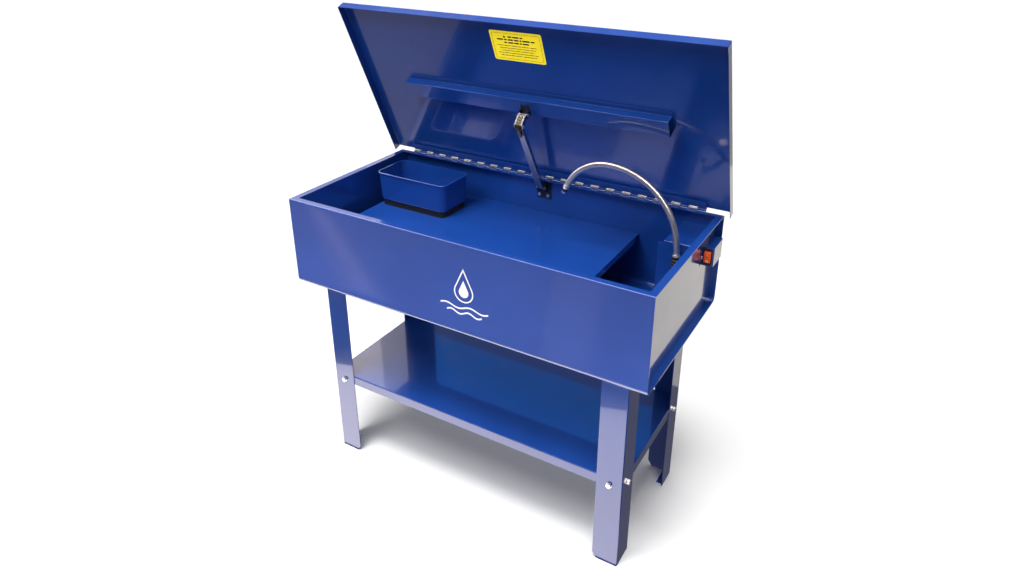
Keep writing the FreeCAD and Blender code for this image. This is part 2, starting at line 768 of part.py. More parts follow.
def make_stay_link():
    """Short forked link between the elbow and the lid bracket."""
    outer = LINK_GAP + LINK_SHEET
    web_top = LINK_WEB + LINK_SHEET
    plates = []
    for x0, x1 in ((-outer, -LINK_GAP), (LINK_GAP, outer)):
        plates.append(capsule(x0, x1, LINK_LENGTH, LINK_EYE_R))
        plates.append(box(x0, x1, -WEB_INSET, LINK_LENGTH - LINK_EYE_R, 0, web_top))
    web = box(-LINK_GAP, LINK_GAP, -WEB_INSET, LINK_LENGTH - LINK_EYE_R, LINK_WEB, web_top)
    link = web.fuse(plates).removeSplitter()
    link = link.cut(cross_hole(0, STAY_PIN_R)).cut(cross_hole(LINK_LENGTH, STAY_PIN_HOLE_R))
    return placed(link, ELBOW, LINK_ANGLE)


def polar(origin, *steps):
    """The (y, z) reached from origin by steps of (length, direction in degrees)."""
    y, z = origin
    for length, direction in steps:
        y += length * math.cos(math.radians(direction))
        z += length * math.sin(math.radians(direction))
    return y, z


def make_fusible_link():
    """Soldered strip that bridges the elbow at the front and lets the lid fall in a fire."""
    across = LINK_ANGLE + 90
    web_top = LINK_WEB + LINK_SHEET
    back_down = ARM_ANGLE + 180
    path = [
        polar(ELBOW, (LINK_LENGTH - FUSE_ON_LINK, LINK_ANGLE), (web_top, across)),
        polar(ELBOW, (-FUSE_PAST_ELBOW, LINK_ANGLE), (web_top, across)),
        polar(ELBOW, (web_top + 1, ARM_ANGLE + FUSE_BULGE_ANGLE)),
        polar(ELBOW, (FUSE_ON_ARM, back_down), (LINK_WEB, ARM_ANGLE + 90)),
    ]
    x0 = STAY_X - FUSE_HALF_WIDTH
    x1 = STAY_X + FUSE_HALF_WIDTH
    return folded_along_x(path[::-1], FUSE_SHEET, [TIGHT_BEND] * 2, x0, x1)


def make_stay_pin(half_length, origin):
    """Headed pin across the stay at origin."""
    shank = rod((-half_length, 0, 0), X_AXIS, STAY_PIN_R, 2 * half_length)
    heads = [
        rod((-half_length - STAY_PIN_HEAD, 0, 0), X_AXIS, STAY_PIN_HEAD_R, STAY_PIN_HEAD),
        rod((half_length, 0, 0), X_AXIS, STAY_PIN_HEAD_R, STAY_PIN_HEAD),
    ]
    return placed(shank.fuse(heads), origin, 0)


def make_stay_wall_bracket():
    """Bracket bolted inside the tank's back wall, with two ears for the arm."""
    plate_y = WALL_Y - BRACKET_SHEET
    plate = box(-WALL_PLATE_HALF_WIDTH, WALL_PLATE_HALF_WIDTH, plate_y, WALL_Y,
                WALL_PLATE_BOTTOM, WALL_PLATE_TOP)
    y, z = STAY_WALL_PIVOT
    ears = []
    for x in (-WALL_EAR_GAP - BRACKET_SHEET, WALL_EAR_GAP):
        gusset = Part.Face(Part.makePolygon([
            V(x, y, z + BRACKET_EYE_R),
            V(x, plate_y, z + BRACKET_EYE_R),
            V(x, plate_y, z - WALL_EAR_FOOT),
            V(x, y, z - BRACKET_EYE_R),
            V(x, y, z + BRACKET_EYE_R),
        ]))
        ears.append(gusset.extrude(V(BRACKET_SHEET, 0, 0)))
        ears.append(rod((x, y, z), X_AXIS, BRACKET_EYE_R, BRACKET_SHEET))
    bracket = plate.fuse(ears)
    holes = [rod((-WALL_PLATE_HALF_WIDTH, y, z), X_AXIS, STAY_PIN_R, 2 * WALL_PLATE_HALF_WIDTH)]
    for side in (-1, 1):
        holes.append(rod((side * WALL_BOLT_X, plate_y, WALL_BOLT_Z), Y_AXIS, WALL_BOLT_R,
                         BRACKET_SHEET))
    bracket = bracket.cut(Part.makeCompound(holes)).removeSplitter()
    return bracket.translated(V(STAY_X, 0, 0))


def make_stay_lid_bracket():
    """Bracket on the lid's stiffener, with two ears for the link."""
    y, z = LID_PIVOT_CLOSED
    plate_z = STIFFENER_OUT_Z - BRACKET_SHEET
    half = LID_EAR_GAP + BRACKET_SHEET
    plate = box(-half, half, y - LID_PLATE_REACH, y + BRACKET_EYE_R, plate_z, STIFFENER_OUT_Z)
    ears = []
    for x0 in (-half, LID_EAR_GAP):
        ears.append(box(x0, x0 + BRACKET_SHEET, y - BRACKET_EYE_R, y + BRACKET_EYE_R, z, plate_z))
        ears.append(rod((x0, y, z), X_AXIS, BRACKET_EYE_R, BRACKET_SHEET))
    hole = rod((-half, y, z), X_AXIS, STAY_PIN_R, 2 * half)
    bracket = plate.fuse(ears).removeSplitter().cut(hole)
    return opened(bracket.translated(V(STAY_X, 0, 0)))


def make_stay_bracket_bolts():
    """Two bolts that hold the wall bracket, heads inside the tank."""
    bolts = []
    plate_y = WALL_Y - BRACKET_SHEET
    for side in (-1, 1):
        x = STAY_X + side * WALL_BOLT_X
        head = hexagon((x, plate_y, WALL_BOLT_Z), V(0, -1, 0), M6_ACROSS, M6_HEAD)
        shank = rod((x, plate_y, WALL_BOLT_Z), Y_AXIS, WALL_BOLT_R, M6_LENGTH)
        bolts.append(head.fuse(shank))
    return Part.makeCompound(bolts)


def make_stay_bracket_nuts():
    """Nuts of those bolts, outside the back wall."""
    nuts = []
    for side in (-1, 1):
        x = STAY_X + side * WALL_BOLT_X
        nut = hexagon((x, TANK_Y, WALL_BOLT_Z), Y_AXIS, M6_ACROSS, M6_NUT)
        nuts.append(nut.cut(rod((x, TANK_Y, WALL_BOLT_Z), Y_AXIS, WALL_BOLT_R, M6_NUT)))
    return Part.makeCompound(nuts)


# Pump, cover and spout

def make_pump_cover():
    """Box over the pump, open to the tank's corner, with a flange at its left front edge."""
    floor = FLOOR_Z + SHEET
    right = END_X - SHEET - COVER_GAP
    outer = box(COVER_LEFT, right, COVER_FRONT, WALL_Y - COVER_GAP, floor, COVER_TOP)
    edges = []
    for edge in outer.Edges:
        middle = edge.CenterOfMass
        side = near(middle.x, COVER_LEFT) or near(middle.y, COVER_FRONT)
        if side and near(middle.z, COVER_TOP):
            edges.append(edge)
    outer = outer.makeFillet(TIGHT_BEND + COVER_SHEET, edges)
    inner = box(COVER_LEFT + COVER_SHEET, right + OVERCUT, COVER_FRONT + COVER_SHEET,
                WALL_Y + OVERCUT, floor - OVERCUT, COVER_TOP - COVER_SHEET)
    heel = BOTTOM_BEND + OVERCUT
    notch = box(COVER_LEFT - OVERCUT, right + OVERCUT, WALL_Y - heel, WALL_Y,
                floor - OVERCUT, floor + heel)
    cover = outer.cut([inner, notch])
    flange = box(COVER_LEFT - COVER_FLANGE, COVER_LEFT + COVER_SHEET, COVER_FRONT,
                 COVER_FRONT + COVER_SHEET, floor, COVER_TOP - COVER_FLANGE_DROP)
    inlets = []
    for i in range(INLET_COUNT):
        z = floor + INLET_START + INLET_PITCH * i
        inlets.append(box(COVER_LEFT + INLET_MARGIN, right - INLET_MARGIN, COVER_FRONT - OVERCUT,
                          COVER_FRONT + COVER_SHEET + OVERCUT, z, z + INLET_HEIGHT))
    outlet = rod((SPOUT_X, COVER_FRONT, OUTLET_Z), Y_AXIS, ELBOW_R, COVER_SHEET)
    return cover.fuse(flange).cut(Part.makeCompound(inlets + [outlet])).removeSplitter()


def make_pump_body():
    """Submersible pump's motor housing, with its outlet stub."""
    base = FLOOR_Z + SHEET + PUMP_BASE_HEIGHT
    top = FLOOR_Z + SHEET + PUMP_HEIGHT
    body = rounded_plate(PUMP_X - PUMP_HALF_X, PUMP_X + PUMP_HALF_X, PUMP_Y - PUMP_HALF_Y,
                         PUMP_Y + PUMP_HALF_Y, base, top, PUMP_CORNER)
    rim = [e for e in body.Edges if near(e.BoundBox.ZMin, top)]
    body = body.makeFillet(PUMP_SHOULDER, rim)
    stub = rod((SPOUT_X, OUTLET_Y, top - OVERCUT), Z_AXIS, STUB_R, STUB_HEIGHT + OVERCUT)
    return body.fuse(stub)


def make_pump_strainer():
    """Slotted foot of the pump, which the liquid enters through."""
    floor = FLOOR_Z + SHEET
    half_x = PUMP_HALF_X + STRAINER_EDGE
    half_y = PUMP_HALF_Y + STRAINER_EDGE
    foot = rounded_plate(PUMP_X - half_x, PUMP_X + half_x, PUMP_Y - half_y, PUMP_Y + half_y,
                         floor, floor + PUMP_BASE_HEIGHT, PUMP_CORNER)
    low, high = [floor + z for z in STRAINER_SLOT_Z]
    slots = []
    for i in range(-STRAINER_SLOTS_EACH_WAY, STRAINER_SLOTS_EACH_WAY + 1):
        y = PUMP_Y + STRAINER_PITCH * i
        slots.append(box(PUMP_X - half_x - OVERCUT, PUMP_X + half_x + OVERCUT,
                         y - STRAINER_SLOT_HALF, y + STRAINER_SLOT_HALF, low, high))
    return foot.cut(Part.makeCompound(slots))


def make_pump_outlet_tube():
    """Tube from the pump's stub up and forward to the elbow."""
    start_z = FLOOR_Z + SHEET + PUMP_HEIGHT + STUB_HEIGHT
    half_turn = OUTLET_BEND * math.sin(math.radians(45))
    corner = V(SPOUT_X, OUTLET_Y - OUTLET_BEND, OUTLET_Z - OUTLET_BEND)
    rise = Part.LineSegment(V(SPOUT_X, OUTLET_Y, start_z), V(SPOUT_X, OUTLET_Y, corner.z)).toShape()
    arc = Part.Arc(V(SPOUT_X, OUTLET_Y, corner.z),
                   V(SPOUT_X, corner.y + half_turn, corner.z + half_turn),
                   V(SPOUT_X, corner.y, OUTLET_Z)).toShape()
    end = V(SPOUT_X, OUTLET_END_Y, OUTLET_Z)
    run = Part.LineSegment(V(SPOUT_X, corner.y, OUTLET_Z), end).toShape()
    return tube_along([rise, arc, run], OUTLET_R)


def make_spout_elbow():
    """Elbow through the cover's front, turning up to the spout."""
    level = rod((SPOUT_X, SPOUT_Y, OUTLET_Z), Y_AXIS, ELBOW_R, OUTLET_END_Y - SPOUT_Y)
    corner = Part.makeSphere(ELBOW_R, V(SPOUT_X, SPOUT_Y, OUTLET_Z))
    rise = rod((SPOUT_X, SPOUT_Y, OUTLET_Z), Z_AXIS, ELBOW_R, FITTING_BOTTOM - OUTLET_Z)
    return level.fuse([corner, rise])


def make_bulkhead_nuts():
    """Hexagon nuts that clamp the elbow to the cover, one each side of the sheet."""
    nuts = []
    for y, axis in ((COVER_FRONT, V(0, -1, 0)), (COVER_FRONT + COVER_SHEET, Y_AXIS)):
        start = (SPOUT_X, y, OUTLET_Z)
        nut = hexagon(start, axis, BULKHEAD_ACROSS, BULKHEAD_NUT)
        nuts.append(nut.cut(rod(start, axis, ELBOW_R, BULKHEAD_NUT)))
    return Part.makeCompound(nuts)


def make_spout_fitting():
    """Stepped fitting on top of the elbow, which the gooseneck grows out of."""
    height = FITTING_TOP - FITTING_BOTTOM
    rings = []
    for low, high, radius in FITTING_STEPS:
        start = (SPOUT_X, SPOUT_Y, FITTING_BOTTOM + low * height)
        rings.append(rod(start, Z_AXIS, radius, (high - low) * height))
    return rings[0].fuse(rings[1:])


def neck_edges():
    """Path of the gooseneck: a leaning rise, a wide arch, a tighter arch and a short tail."""
    def point(x, z):
        return V(x, SPOUT_Y, z)

    def ahead(start, turn, length):
        return start[0] + length * math.cos(turn), start[1] + length * math.sin(turn)

    def arc(start, turn, sweep, radius):
        places = []
        for share in (0.5, 1.0):
            later = turn + sweep * share
            places.append((start[0] + radius * (math.sin(later) - math.sin(turn)),
                           start[1] + radius * (math.cos(turn) - math.cos(later))))
        return Part.Arc(point(*start), point(*places[0]), point(*places[1])).toShape(), places[1]

    base = (SPOUT_X, NECK_BASE_Z)
    lean = math.radians(90 + NECK_LEAN)
    level = math.radians(180)
    tip = math.radians(180 + NECK_TIP_TURN)
    rise_end = ahead(base, lean, NECK_RISE)
    arch, top = arc(rise_end, lean, level - lean, NECK_ARCH_R)
    hook, drop = arc(top, level, tip - level, NECK_TIP_R)
    end = ahead(drop, tip, NECK_TAIL)
    rise = Part.LineSegment(point(*base), point(*rise_end)).toShape()
    tail = Part.LineSegment(point(*drop), point(*end)).toShape()
    return [rise, arch, hook, tail], point(*end), V(math.cos(tip), 0, math.sin(tip))


def make_spout_neck():
    """Flexible gooseneck, round-ended where it bends at its base."""
    edges, _, _ = neck_edges()
    ball = Part.makeSphere(NECK_R, V(SPOUT_X, SPOUT_Y, NECK_BASE_Z))
    return tube_along(edges, NECK_R).fuse(ball)


def make_spout_ferrule():
    """Ring crimped on the end of the gooseneck."""
    _, end, direction = neck_edges()
    return Part.makeCylinder(FERRULE_R, FERRULE_LENGTH, end, direction)


def make_spout_nozzle():
    """Nozzle at the tip of the spout, bored along its axis."""
    _, end, direction = neck_edges()
    start = end + direction * FERRULE_LENGTH
    half = NOZZLE_LENGTH / 2
    body = Part.makeCylinder(NOZZLE_R, half, start, direction)
    nose = Part.makeCone(NOZZLE_R, NOZZLE_NOSE_R, half, start + direction * half, direction)
    bore_start = start + direction * (half / 2)
    bore = Part.makeCylinder(NOZZLE_BORE, NOZZLE_LENGTH, bore_start, direction)
    return body.fuse(nose).cut(bore)


def make_pump_cable():
    """Cable from the pump up to the grommet and into the switch box."""
    start = V(CABLE_PUMP_X, CABLE_Y, FLOOR_Z + SHEET + PUMP_HEIGHT)
    middle = CABLE_BEND * (1 - math.sin(math.radians(45)))
    turn_start = V(start.x, CABLE_Y, CABLE_Z - CABLE_BEND)
    turn_end = V(start.x + CABLE_BEND, CABLE_Y, CABLE_Z)
    rise = Part.LineSegment(start, turn_start).toShape()
    arc = Part.Arc(turn_start, V(start.x + middle, CABLE_Y, CABLE_Z - middle), turn_end).toShape()
    run = Part.LineSegment(turn_end, V(CABLE_END_X, CABLE_Y, CABLE_Z)).toShape()
    return tube_along([rise, arc, run], CABLE_R)


def make_cable_grommet():
    """Rubber grommet where the pump's cable passes the end panel."""
    low = END_X - SHEET - GROMMET_LIP
    inside = rod((low, CABLE_Y, CABLE_Z), X_AXIS, GROMMET_R, GROMMET_LIP)
    waist = rod((END_X - SHEET, CABLE_Y, CABLE_Z), X_AXIS, GROMMET_WAIST_R, SHEET)
    outside = rod((END_X, CABLE_Y, CABLE_Z), X_AXIS, GROMMET_R, GROMMET_LIP)
    bore = rod((low, CABLE_Y, CABLE_Z), X_AXIS, CABLE_R, SHEET + 2 * GROMMET_LIP)
    return inside.fuse([waist, outside]).cut(bore)


# Switch box

def make_switch_box():
    """Steel box on the end panel, with a screw flange at each end and a switch opening."""
    points = [
        V(END_X, SWITCH_Y0, SWITCH_Z0), V(SWITCH_X1, SWITCH_Y0, SWITCH_Z0),
        V(SWITCH_X1, SWITCH_Y1, SWITCH_Z0), V(END_X, SWITCH_Y1, SWITCH_Z0),
    ]
    height = SWITCH_Z1 - SWITCH_Z0
    outline = rounded_wire(points, [0, SWITCH_CORNER, SWITCH_CORNER, 0])
    outer = Part.Face(outline).extrude(V(0, 0, height))
    inner = box(END_X - OVERCUT, SWITCH_X1 - SWITCH_SHEET, SWITCH_Y0 + SWITCH_SHEET,
                SWITCH_Y1 - SWITCH_SHEET, SWITCH_Z0 + SWITCH_SHEET, SWITCH_Z1 - SWITCH_SHEET)
    corners = [e for e in inner.Edges
               if e.BoundBox.ZLength > height / 2 and e.CenterOfMass.x > END_X]
    inner = inner.makeFillet(SWITCH_CORNER - SWITCH_SHEET, corners)
    tabs = []
    for y0, y1 in ((SWITCH_Y0 - SWITCH_FLANGE, SWITCH_Y0 + SWITCH_SHEET),
                   (SWITCH_Y1 - SWITCH_SHEET, SWITCH_Y1 + SWITCH_FLANGE)):
        tabs.append(box(END_X, END_X + SWITCH_SHEET, y0, y1,
                        SWITCH_Z0 + SWITCH_FLANGE_INSET, SWITCH_Z1 - SWITCH_FLANGE_INSET))
    opening = box(SWITCH_MID_X - SLEEVE_HALF_X, SWITCH_MID_X + SLEEVE_HALF_X,
                  SWITCH_Y0 - OVERCUT, SWITCH_Y0 + SWITCH_SHEET + OVERCUT,
                  SWITCH_MID_Z - SLEEVE_HALF_Z, SWITCH_MID_Z + SLEEVE_HALF_Z)
    gland = rod((SWITCH_MID_X, SWITCH_Y1 - SWITCH_SHEET, SWITCH_MID_Z), Y_AXIS, GLAND_R,
                SWITCH_SHEET)
    holes = Part.makeCompound([opening, gland] + screw_holes())
    return outer.cut(inner).fuse(tabs).cut(holes).removeSplitter()


def screw_places():
    """The y of the switch box's two screws."""
    return SWITCH_Y0 - SCREW_REACH, SWITCH_Y1 + SCREW_REACH


def screw_holes():
    """Holes for the switch box's screws, through flange and end panel."""
    return [rod((END_X - SHEET, y, SWITCH_MID_Z), X_AXIS, SCREW_R, SHEET + SWITCH_SHEET)
            for y in screw_places()]


def make_switch_box_screws():
    """Pan-headed screws of the switch box."""
    screws = []
    for y in screw_places():
        shank = rod((END_X - SHEET - SCREW_POINT, y, SWITCH_MID_Z), X_AXIS, SCREW_R,
                    SCREW_POINT + SHEET + SWITCH_SHEET)
        head = rod((END_X + SWITCH_SHEET, y, SWITCH_MID_Z), X_AXIS, SCREW_HEAD_R, SCREW_HEAD)
        screws.append(shank.fuse(head))
    return Part.makeCompound(screws)


def make_switch_body():
    """Switch's bezel and housing, in the front of the box."""
    bezel = box(SWITCH_MID_X - BEZEL_HALF_X, SWITCH_MID_X + BEZEL_HALF_X,
                SWITCH_Y0 - BEZEL_THICK, SWITCH_Y0,
                SWITCH_MID_Z - BEZEL_HALF_Z, SWITCH_MID_Z + BEZEL_HALF_Z)
    sleeve = box(SWITCH_MID_X - SLEEVE_HALF_X, SWITCH_MID_X + SLEEVE_HALF_X,
                 SWITCH_Y0, SWITCH_Y0 + SLEEVE_DEPTH,
                 SWITCH_MID_Z - SLEEVE_HALF_Z, SWITCH_MID_Z + SLEEVE_HALF_Z)
    half_x = ROCKER_HALF_X + ROCKER_GAP
    half_z = ROCKER_R + ROCKER_GAP
    cavity = box(SWITCH_MID_X - half_x, SWITCH_MID_X + half_x,
                 SWITCH_Y0 - BEZEL_THICK - OVERCUT, SWITCH_Y0 + SLEEVE_DEPTH - SLEEVE_END,
                 SWITCH_MID_Z - half_z, SWITCH_MID_Z + half_z)
    return bezel.fuse(sleeve).cut(cavity).removeSplitter()


def make_switch_rocker():
    """Rocker, pressed in at its lower end, on a pivot along X."""
    pivot_y = SWITCH_Y0 + ROCKER_PIVOT_IN
    x0 = SWITCH_MID_X - ROCKER_HALF_X
    drum = rod((x0, pivot_y, SWITCH_MID_Z), X_AXIS, ROCKER_R, 2 * ROCKER_HALF_X)
    front = pivot_y - ROCKER_PROUD - BEZEL_THICK
    low = SWITCH_MID_Z - ROCKER_R
    high = SWITCH_MID_Z + ROCKER_R
    points = [
        V(x0, front - ROCKER_DISH, low),
        V(x0, front, SWITCH_MID_Z),
        V(x0, front - ROCKER_DISH, high),
        V(x0, pivot_y + ROCKER_BACK, high),
        V(x0, pivot_y + ROCKER_BACK, low),
        V(x0, front - ROCKER_DISH, low),
    ]
    wedge = Part.Face(Part.makePolygon(points)).extrude(V(2 * ROCKER_HALF_X, 0, 0))
    rocker = drum.common(wedge)
    return rocker.rotated(V(0, pivot_y, SWITCH_MID_Z), X_AXIS, ROCKER_TILT)


def make_power_gland():
    """Gland in the back of the switch box for the supply cord."""
    inside = (SWITCH_MID_X, SWITCH_Y1 - GLAND_NUT, SWITCH_MID_Z)
    nut = hexagon((SWITCH_MID_X, SWITCH_Y1, SWITCH_MID_Z), Y_AXIS, GLAND_ACROSS, GLAND_NUT)
    neck = rod(inside, Y_AXIS, GLAND_R, 2 * GLAND_NUT)
    dome = rod((SWITCH_MID_X, SWITCH_Y1 + GLAND_NUT, SWITCH_MID_Z), Y_AXIS, GLAND_DOME_R,
               GLAND_DOME)
    bore = rod(inside, Y_AXIS, GLAND_BORE_R, 2 * GLAND_NUT + GLAND_DOME)
    return nut.fuse([neck, dome]).cut(bore)


def make_end_panel_right():
    """Right end panel, drilled for the cable and the switch box's screws."""
    cable = rod((END_X - SHEET, CABLE_Y, CABLE_Z), X_AXIS, GROMMET_WAIST_R, SHEET)
    return make_end_panel().cut(Part.makeCompound([cable] + screw_holes()))


# Legs and lower shelf

def make_leg():
    """Front left leg: an angle with two tabs at its top and a foot turned in at its bottom."""
    top = FLOOR_Z - LEG_SHEET
    path = [
        (-LEG_X, -LEG_Y + LEG_FLANGE),
        (-LEG_X, -LEG_Y),
        (-LEG_X + LEG_FLANGE, -LEG_Y),
    ]
    leg = folded_along_z(path, LEG_SHEET, [TIGHT_BEND], 0, top)
    front_x = [-LEG_X + reach for reach in FRONT_TAB]
    side_y = [-LEG_Y + reach for reach in SIDE_TAB]
    foot_y = [-LEG_Y + reach for reach in FOOT_Y]
    tabs = [
        box(front_x[0], front_x[1], -LEG_Y, -LEG_Y + TAB_DEPTH, top, FLOOR_Z),
        box(-LEG_X, -LEG_X + TAB_DEPTH, side_y[0], side_y[1], top, FLOOR_Z),
        box(-LEG_X, -LEG_X + FOOT_WIDTH, foot_y[0], foot_y[1], 0, LEG_SHEET),
    ]
    edge_x = -LEG_X + LEG_FLANGE
    corner = Part.makePolygon([
        V(edge_x - LEG_CHAMFER, 0, 0),
        V(edge_x, 0, 0),
        V(edge_x, 0, LEG_CHAMFER_RISE),
        V(edge_x - LEG_CHAMFER, 0, 0),
    ])
    cuts = [Part.Face(corner).extrude(V(0, -TANK_Y, 0))]
    for x, y in leg_stud_places():
        cuts.append(rod((x, y, top), Z_AXIS, STUD_HOLE_R, LEG_SHEET))
    for start, axis in shelf_bolt_places(0):
        cuts.append(rod(start, axis, BOLT_HOLE_R, LEG_SHEET))
    return leg.fuse(tabs).cut(Part.makeCompound(cuts)).removeSplitter()


def shelf_bolt_places(offset):
    """Start and direction of the front left leg's two shelf bolts, offset in from the leg."""
    middle = LEG_FLANGE / 2
    return [
        ((-LEG_X + middle, -LEG_Y + offset, BOLT_Z), Y_AXIS),
        ((-LEG_X + offset, -LEG_Y + middle, BOLT_Z), X_AXIS),
    ]


def fastener_group(make_one, offset):
    """One fastener at each of the eight shelf bolts, offset in from the leg's outer face."""
    pieces = []
    for start, axis in shelf_bolt_places(offset):
        pieces += four_ways(make_one(start, axis))
    return Part.makeCompound(pieces)


def shelf_bolt(start, axis):
    """Bolt with its head outside the leg's washer and its shank going in."""
    back = axis * -HEX_HEAD
    head = hexagon(tuple(V(*start) + back), axis, HEX_ACROSS, HEX_HEAD)
    return head.fuse(rod(start, axis, BOLT_R, BOLT_LENGTH))


def shelf_washer(start, axis):
    """Washer under a bolt's head."""
    ring = rod(start, axis, WASHER_R, WASHER_THICK)
    return ring.cut(rod(start, axis, BOLT_R, WASHER_THICK))


def shelf_nut(start, axis):
    """Nut on the inside of the shelf's lip."""
    nut = hexagon(start, axis, HEX_ACROSS, HEX_NUT)
    return nut.cut(rod(start, axis, BOLT_R, HEX_NUT))


def make_lower_shelf():
    """Shelf between the legs, with its four edges folded down."""
    x = LEG_X - LEG_SHEET
    y = LEG_Y - LEG_SHEET
    low = SHELF2_TOP - SHELF2_LIP
    outer = rounded_plate(-x, x, -y, y, low, SHELF2_TOP, SHELF2_CORNER)
    top_edges = [e for e in outer.Edges if near(e.BoundBox.ZMin, SHELF2_TOP)]
    outer = outer.makeFillet(SHELF2_BEND, top_edges)
    inner = rounded_plate(-x + SHEET, x - SHEET, -y + SHEET, y - SHEET, low - OVERCUT,
                          SHELF2_TOP - SHEET, SHELF2_CORNER - SHEET)
    holes = []
    for start, axis in shelf_bolt_places(LEG_SHEET):
        holes += four_ways(rod(start, axis, BOLT_HOLE_R, SHEET))
    return outer.cut(inner).cut(Part.makeCompound(holes))


def make_leg_studs():
    """Studs welded under the tank for the legs."""
    studs = []
    for x, y in leg_stud_places():
        studs += four_ways(rod((x, y, FLOOR_Z - STUD_LENGTH), Z_AXIS, STUD_R, STUD_LENGTH))
    return Part.makeCompound(studs)


def make_leg_nuts():
    """Flanged nuts that clamp the legs' tabs to the tank."""
    nuts = []
    top = FLOOR_Z - LEG_SHEET
    for x, y in leg_stud_places():
        flange = rod((x, y, top - WASHER_THICK), Z_AXIS, WASHER_R, WASHER_THICK)
        nut = hexagon((x, y, top - FLANGED_NUT), Z_AXIS, HEX_ACROSS, FLANGED_NUT)
        bore = rod((x, y, top - FLANGED_NUT), Z_AXIS, STUD_R, FLANGED_NUT)
        nuts += four_ways(flange.fuse(nut).cut(bore))
    return Part.makeCompound(nuts)


# Write every node

save("tank_wrap", make_tank_wrap())
save("end_panel_left", mirrored_x(make_end_panel()))
save("end_panel_right", make_end_panel_right())
ledge = make_shelf_ledge()
save("shelf_ledge_front", ledge)
save("shelf_ledge_rear", mirrored_y(ledge))
save("work_shelf", make_work_shelf())
save("drain_bung", make_drain_bung())
save("drain_washer", make_drain_washer())
save("drain_plug", make_drain_plug())
save("basket", make_basket())
save("basket_base_ring", make_basket_base_ring())

save("hinge_leaf_tank", make_hinge_leaf_tank())
save("hinge_leaf_lid", make_hinge_leaf_lid())
save("hinge_pin", make_hinge_pin())
save("hinge_rivets_tank", make_hinge_rivets_tank())
save("hinge_rivets_lid", make_hinge_rivets_lid())
save("lid", make_lid())
save("lid_stiffener", make_lid_stiffener())
save("lid_label", make_lid_label())

save("stay_wall_bracket", make_stay_wall_bracket())
save("stay_bracket_bolts", make_stay_bracket_bolts())
save("stay_bracket_nuts", make_stay_bracket_nuts())
save("stay_arm", make_stay_arm())
save("stay_link", make_stay_link())
save("fusible_link", make_fusible_link())
save("stay_lid_bracket", make_stay_lid_bracket())
save("stay_pin_wall", make_stay_pin(WALL_EAR_GAP + BRACKET_SHEET, STAY_WALL_PIVOT))
save("stay_pin_elbow", make_stay_pin(LINK_GAP + LINK_SHEET, ELBOW))
save("stay_pin_lid", make_stay_pin(LID_EAR_GAP + BRACKET_SHEET, LID_PIVOT))

save("pump_cover", make_pump_cover())
save("pump_body", make_pump_body())
save("pump_strainer", make_pump_strainer())
save("pump_outlet_tube", make_pump_outlet_tube())
save("pump_cable", make_pump_cable())
save("cable_grommet", make_cable_grommet())
save("spout_elbow", make_spout_elbow())
save("bulkhead_nuts", make_bulkhead_nuts())
save("spout_fitting", make_spout_fitting())
save("spout_neck", make_spout_neck())
save("spout_ferrule", make_spout_ferrule())
save("spout_nozzle", make_spout_nozzle())

save("switch_box", make_switch_box())
save("switch_box_screws", make_switch_box_screws())
save("switch_body", make_switch_body())
save("switch_rocker", make_switch_rocker())
save("power_gland", make_power_gland())

leg = make_leg()
save("leg_front_left", leg)
save("leg_rear_left", mirrored_y(leg))
save("leg_front_right", mirrored_x(leg))
save("leg_rear_right", mirrored_x(mirrored_y(leg)))
save("lower_shelf", make_lower_shelf())
save("leg_studs", make_leg_studs())
save("leg_nuts", make_leg_nuts())
save("shelf_bolts", fastener_group(shelf_bolt, -WASHER_THICK))
save("shelf_washers", fastener_group(shelf_washer, -WASHER_THICK))
save("shelf_nuts", fastener_group(shelf_nut, LEG_SHEET + SHEET))
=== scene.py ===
import json
import math

import bmesh
import bpy
from mathutils import Matrix, Vector


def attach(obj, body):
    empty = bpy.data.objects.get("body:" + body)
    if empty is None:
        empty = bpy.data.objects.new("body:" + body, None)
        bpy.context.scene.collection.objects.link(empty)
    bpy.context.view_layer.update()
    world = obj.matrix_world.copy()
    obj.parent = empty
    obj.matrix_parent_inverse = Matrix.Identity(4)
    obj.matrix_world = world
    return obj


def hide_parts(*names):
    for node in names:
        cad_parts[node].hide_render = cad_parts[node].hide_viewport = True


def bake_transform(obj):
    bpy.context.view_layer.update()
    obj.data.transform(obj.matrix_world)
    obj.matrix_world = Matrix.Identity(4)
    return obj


# Looks of the parts washer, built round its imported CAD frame. Metres, in the frame's own axes:
# +X to the right, +Y to the back, +Z up, the origin on the floor under the tank. The lid is open
# at rest, so pieces on it are laid out as if it were shut and are then turned up with it.

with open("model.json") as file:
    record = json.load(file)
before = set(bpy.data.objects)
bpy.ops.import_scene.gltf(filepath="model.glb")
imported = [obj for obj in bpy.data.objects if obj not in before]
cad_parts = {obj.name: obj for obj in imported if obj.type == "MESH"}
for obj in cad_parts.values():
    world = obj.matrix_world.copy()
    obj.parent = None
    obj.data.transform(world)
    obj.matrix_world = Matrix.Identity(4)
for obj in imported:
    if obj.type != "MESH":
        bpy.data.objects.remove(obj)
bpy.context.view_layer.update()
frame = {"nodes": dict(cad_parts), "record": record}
NODES = frame["nodes"]

# Sizes. The points of a turned profile stand in the function that turns it

# Lid and hinge
HINGE = Vector((0.0, 0.264, 0.900))
LID_OPEN = math.radians(66.3)
KNUCKLE_REACH = 0.0042

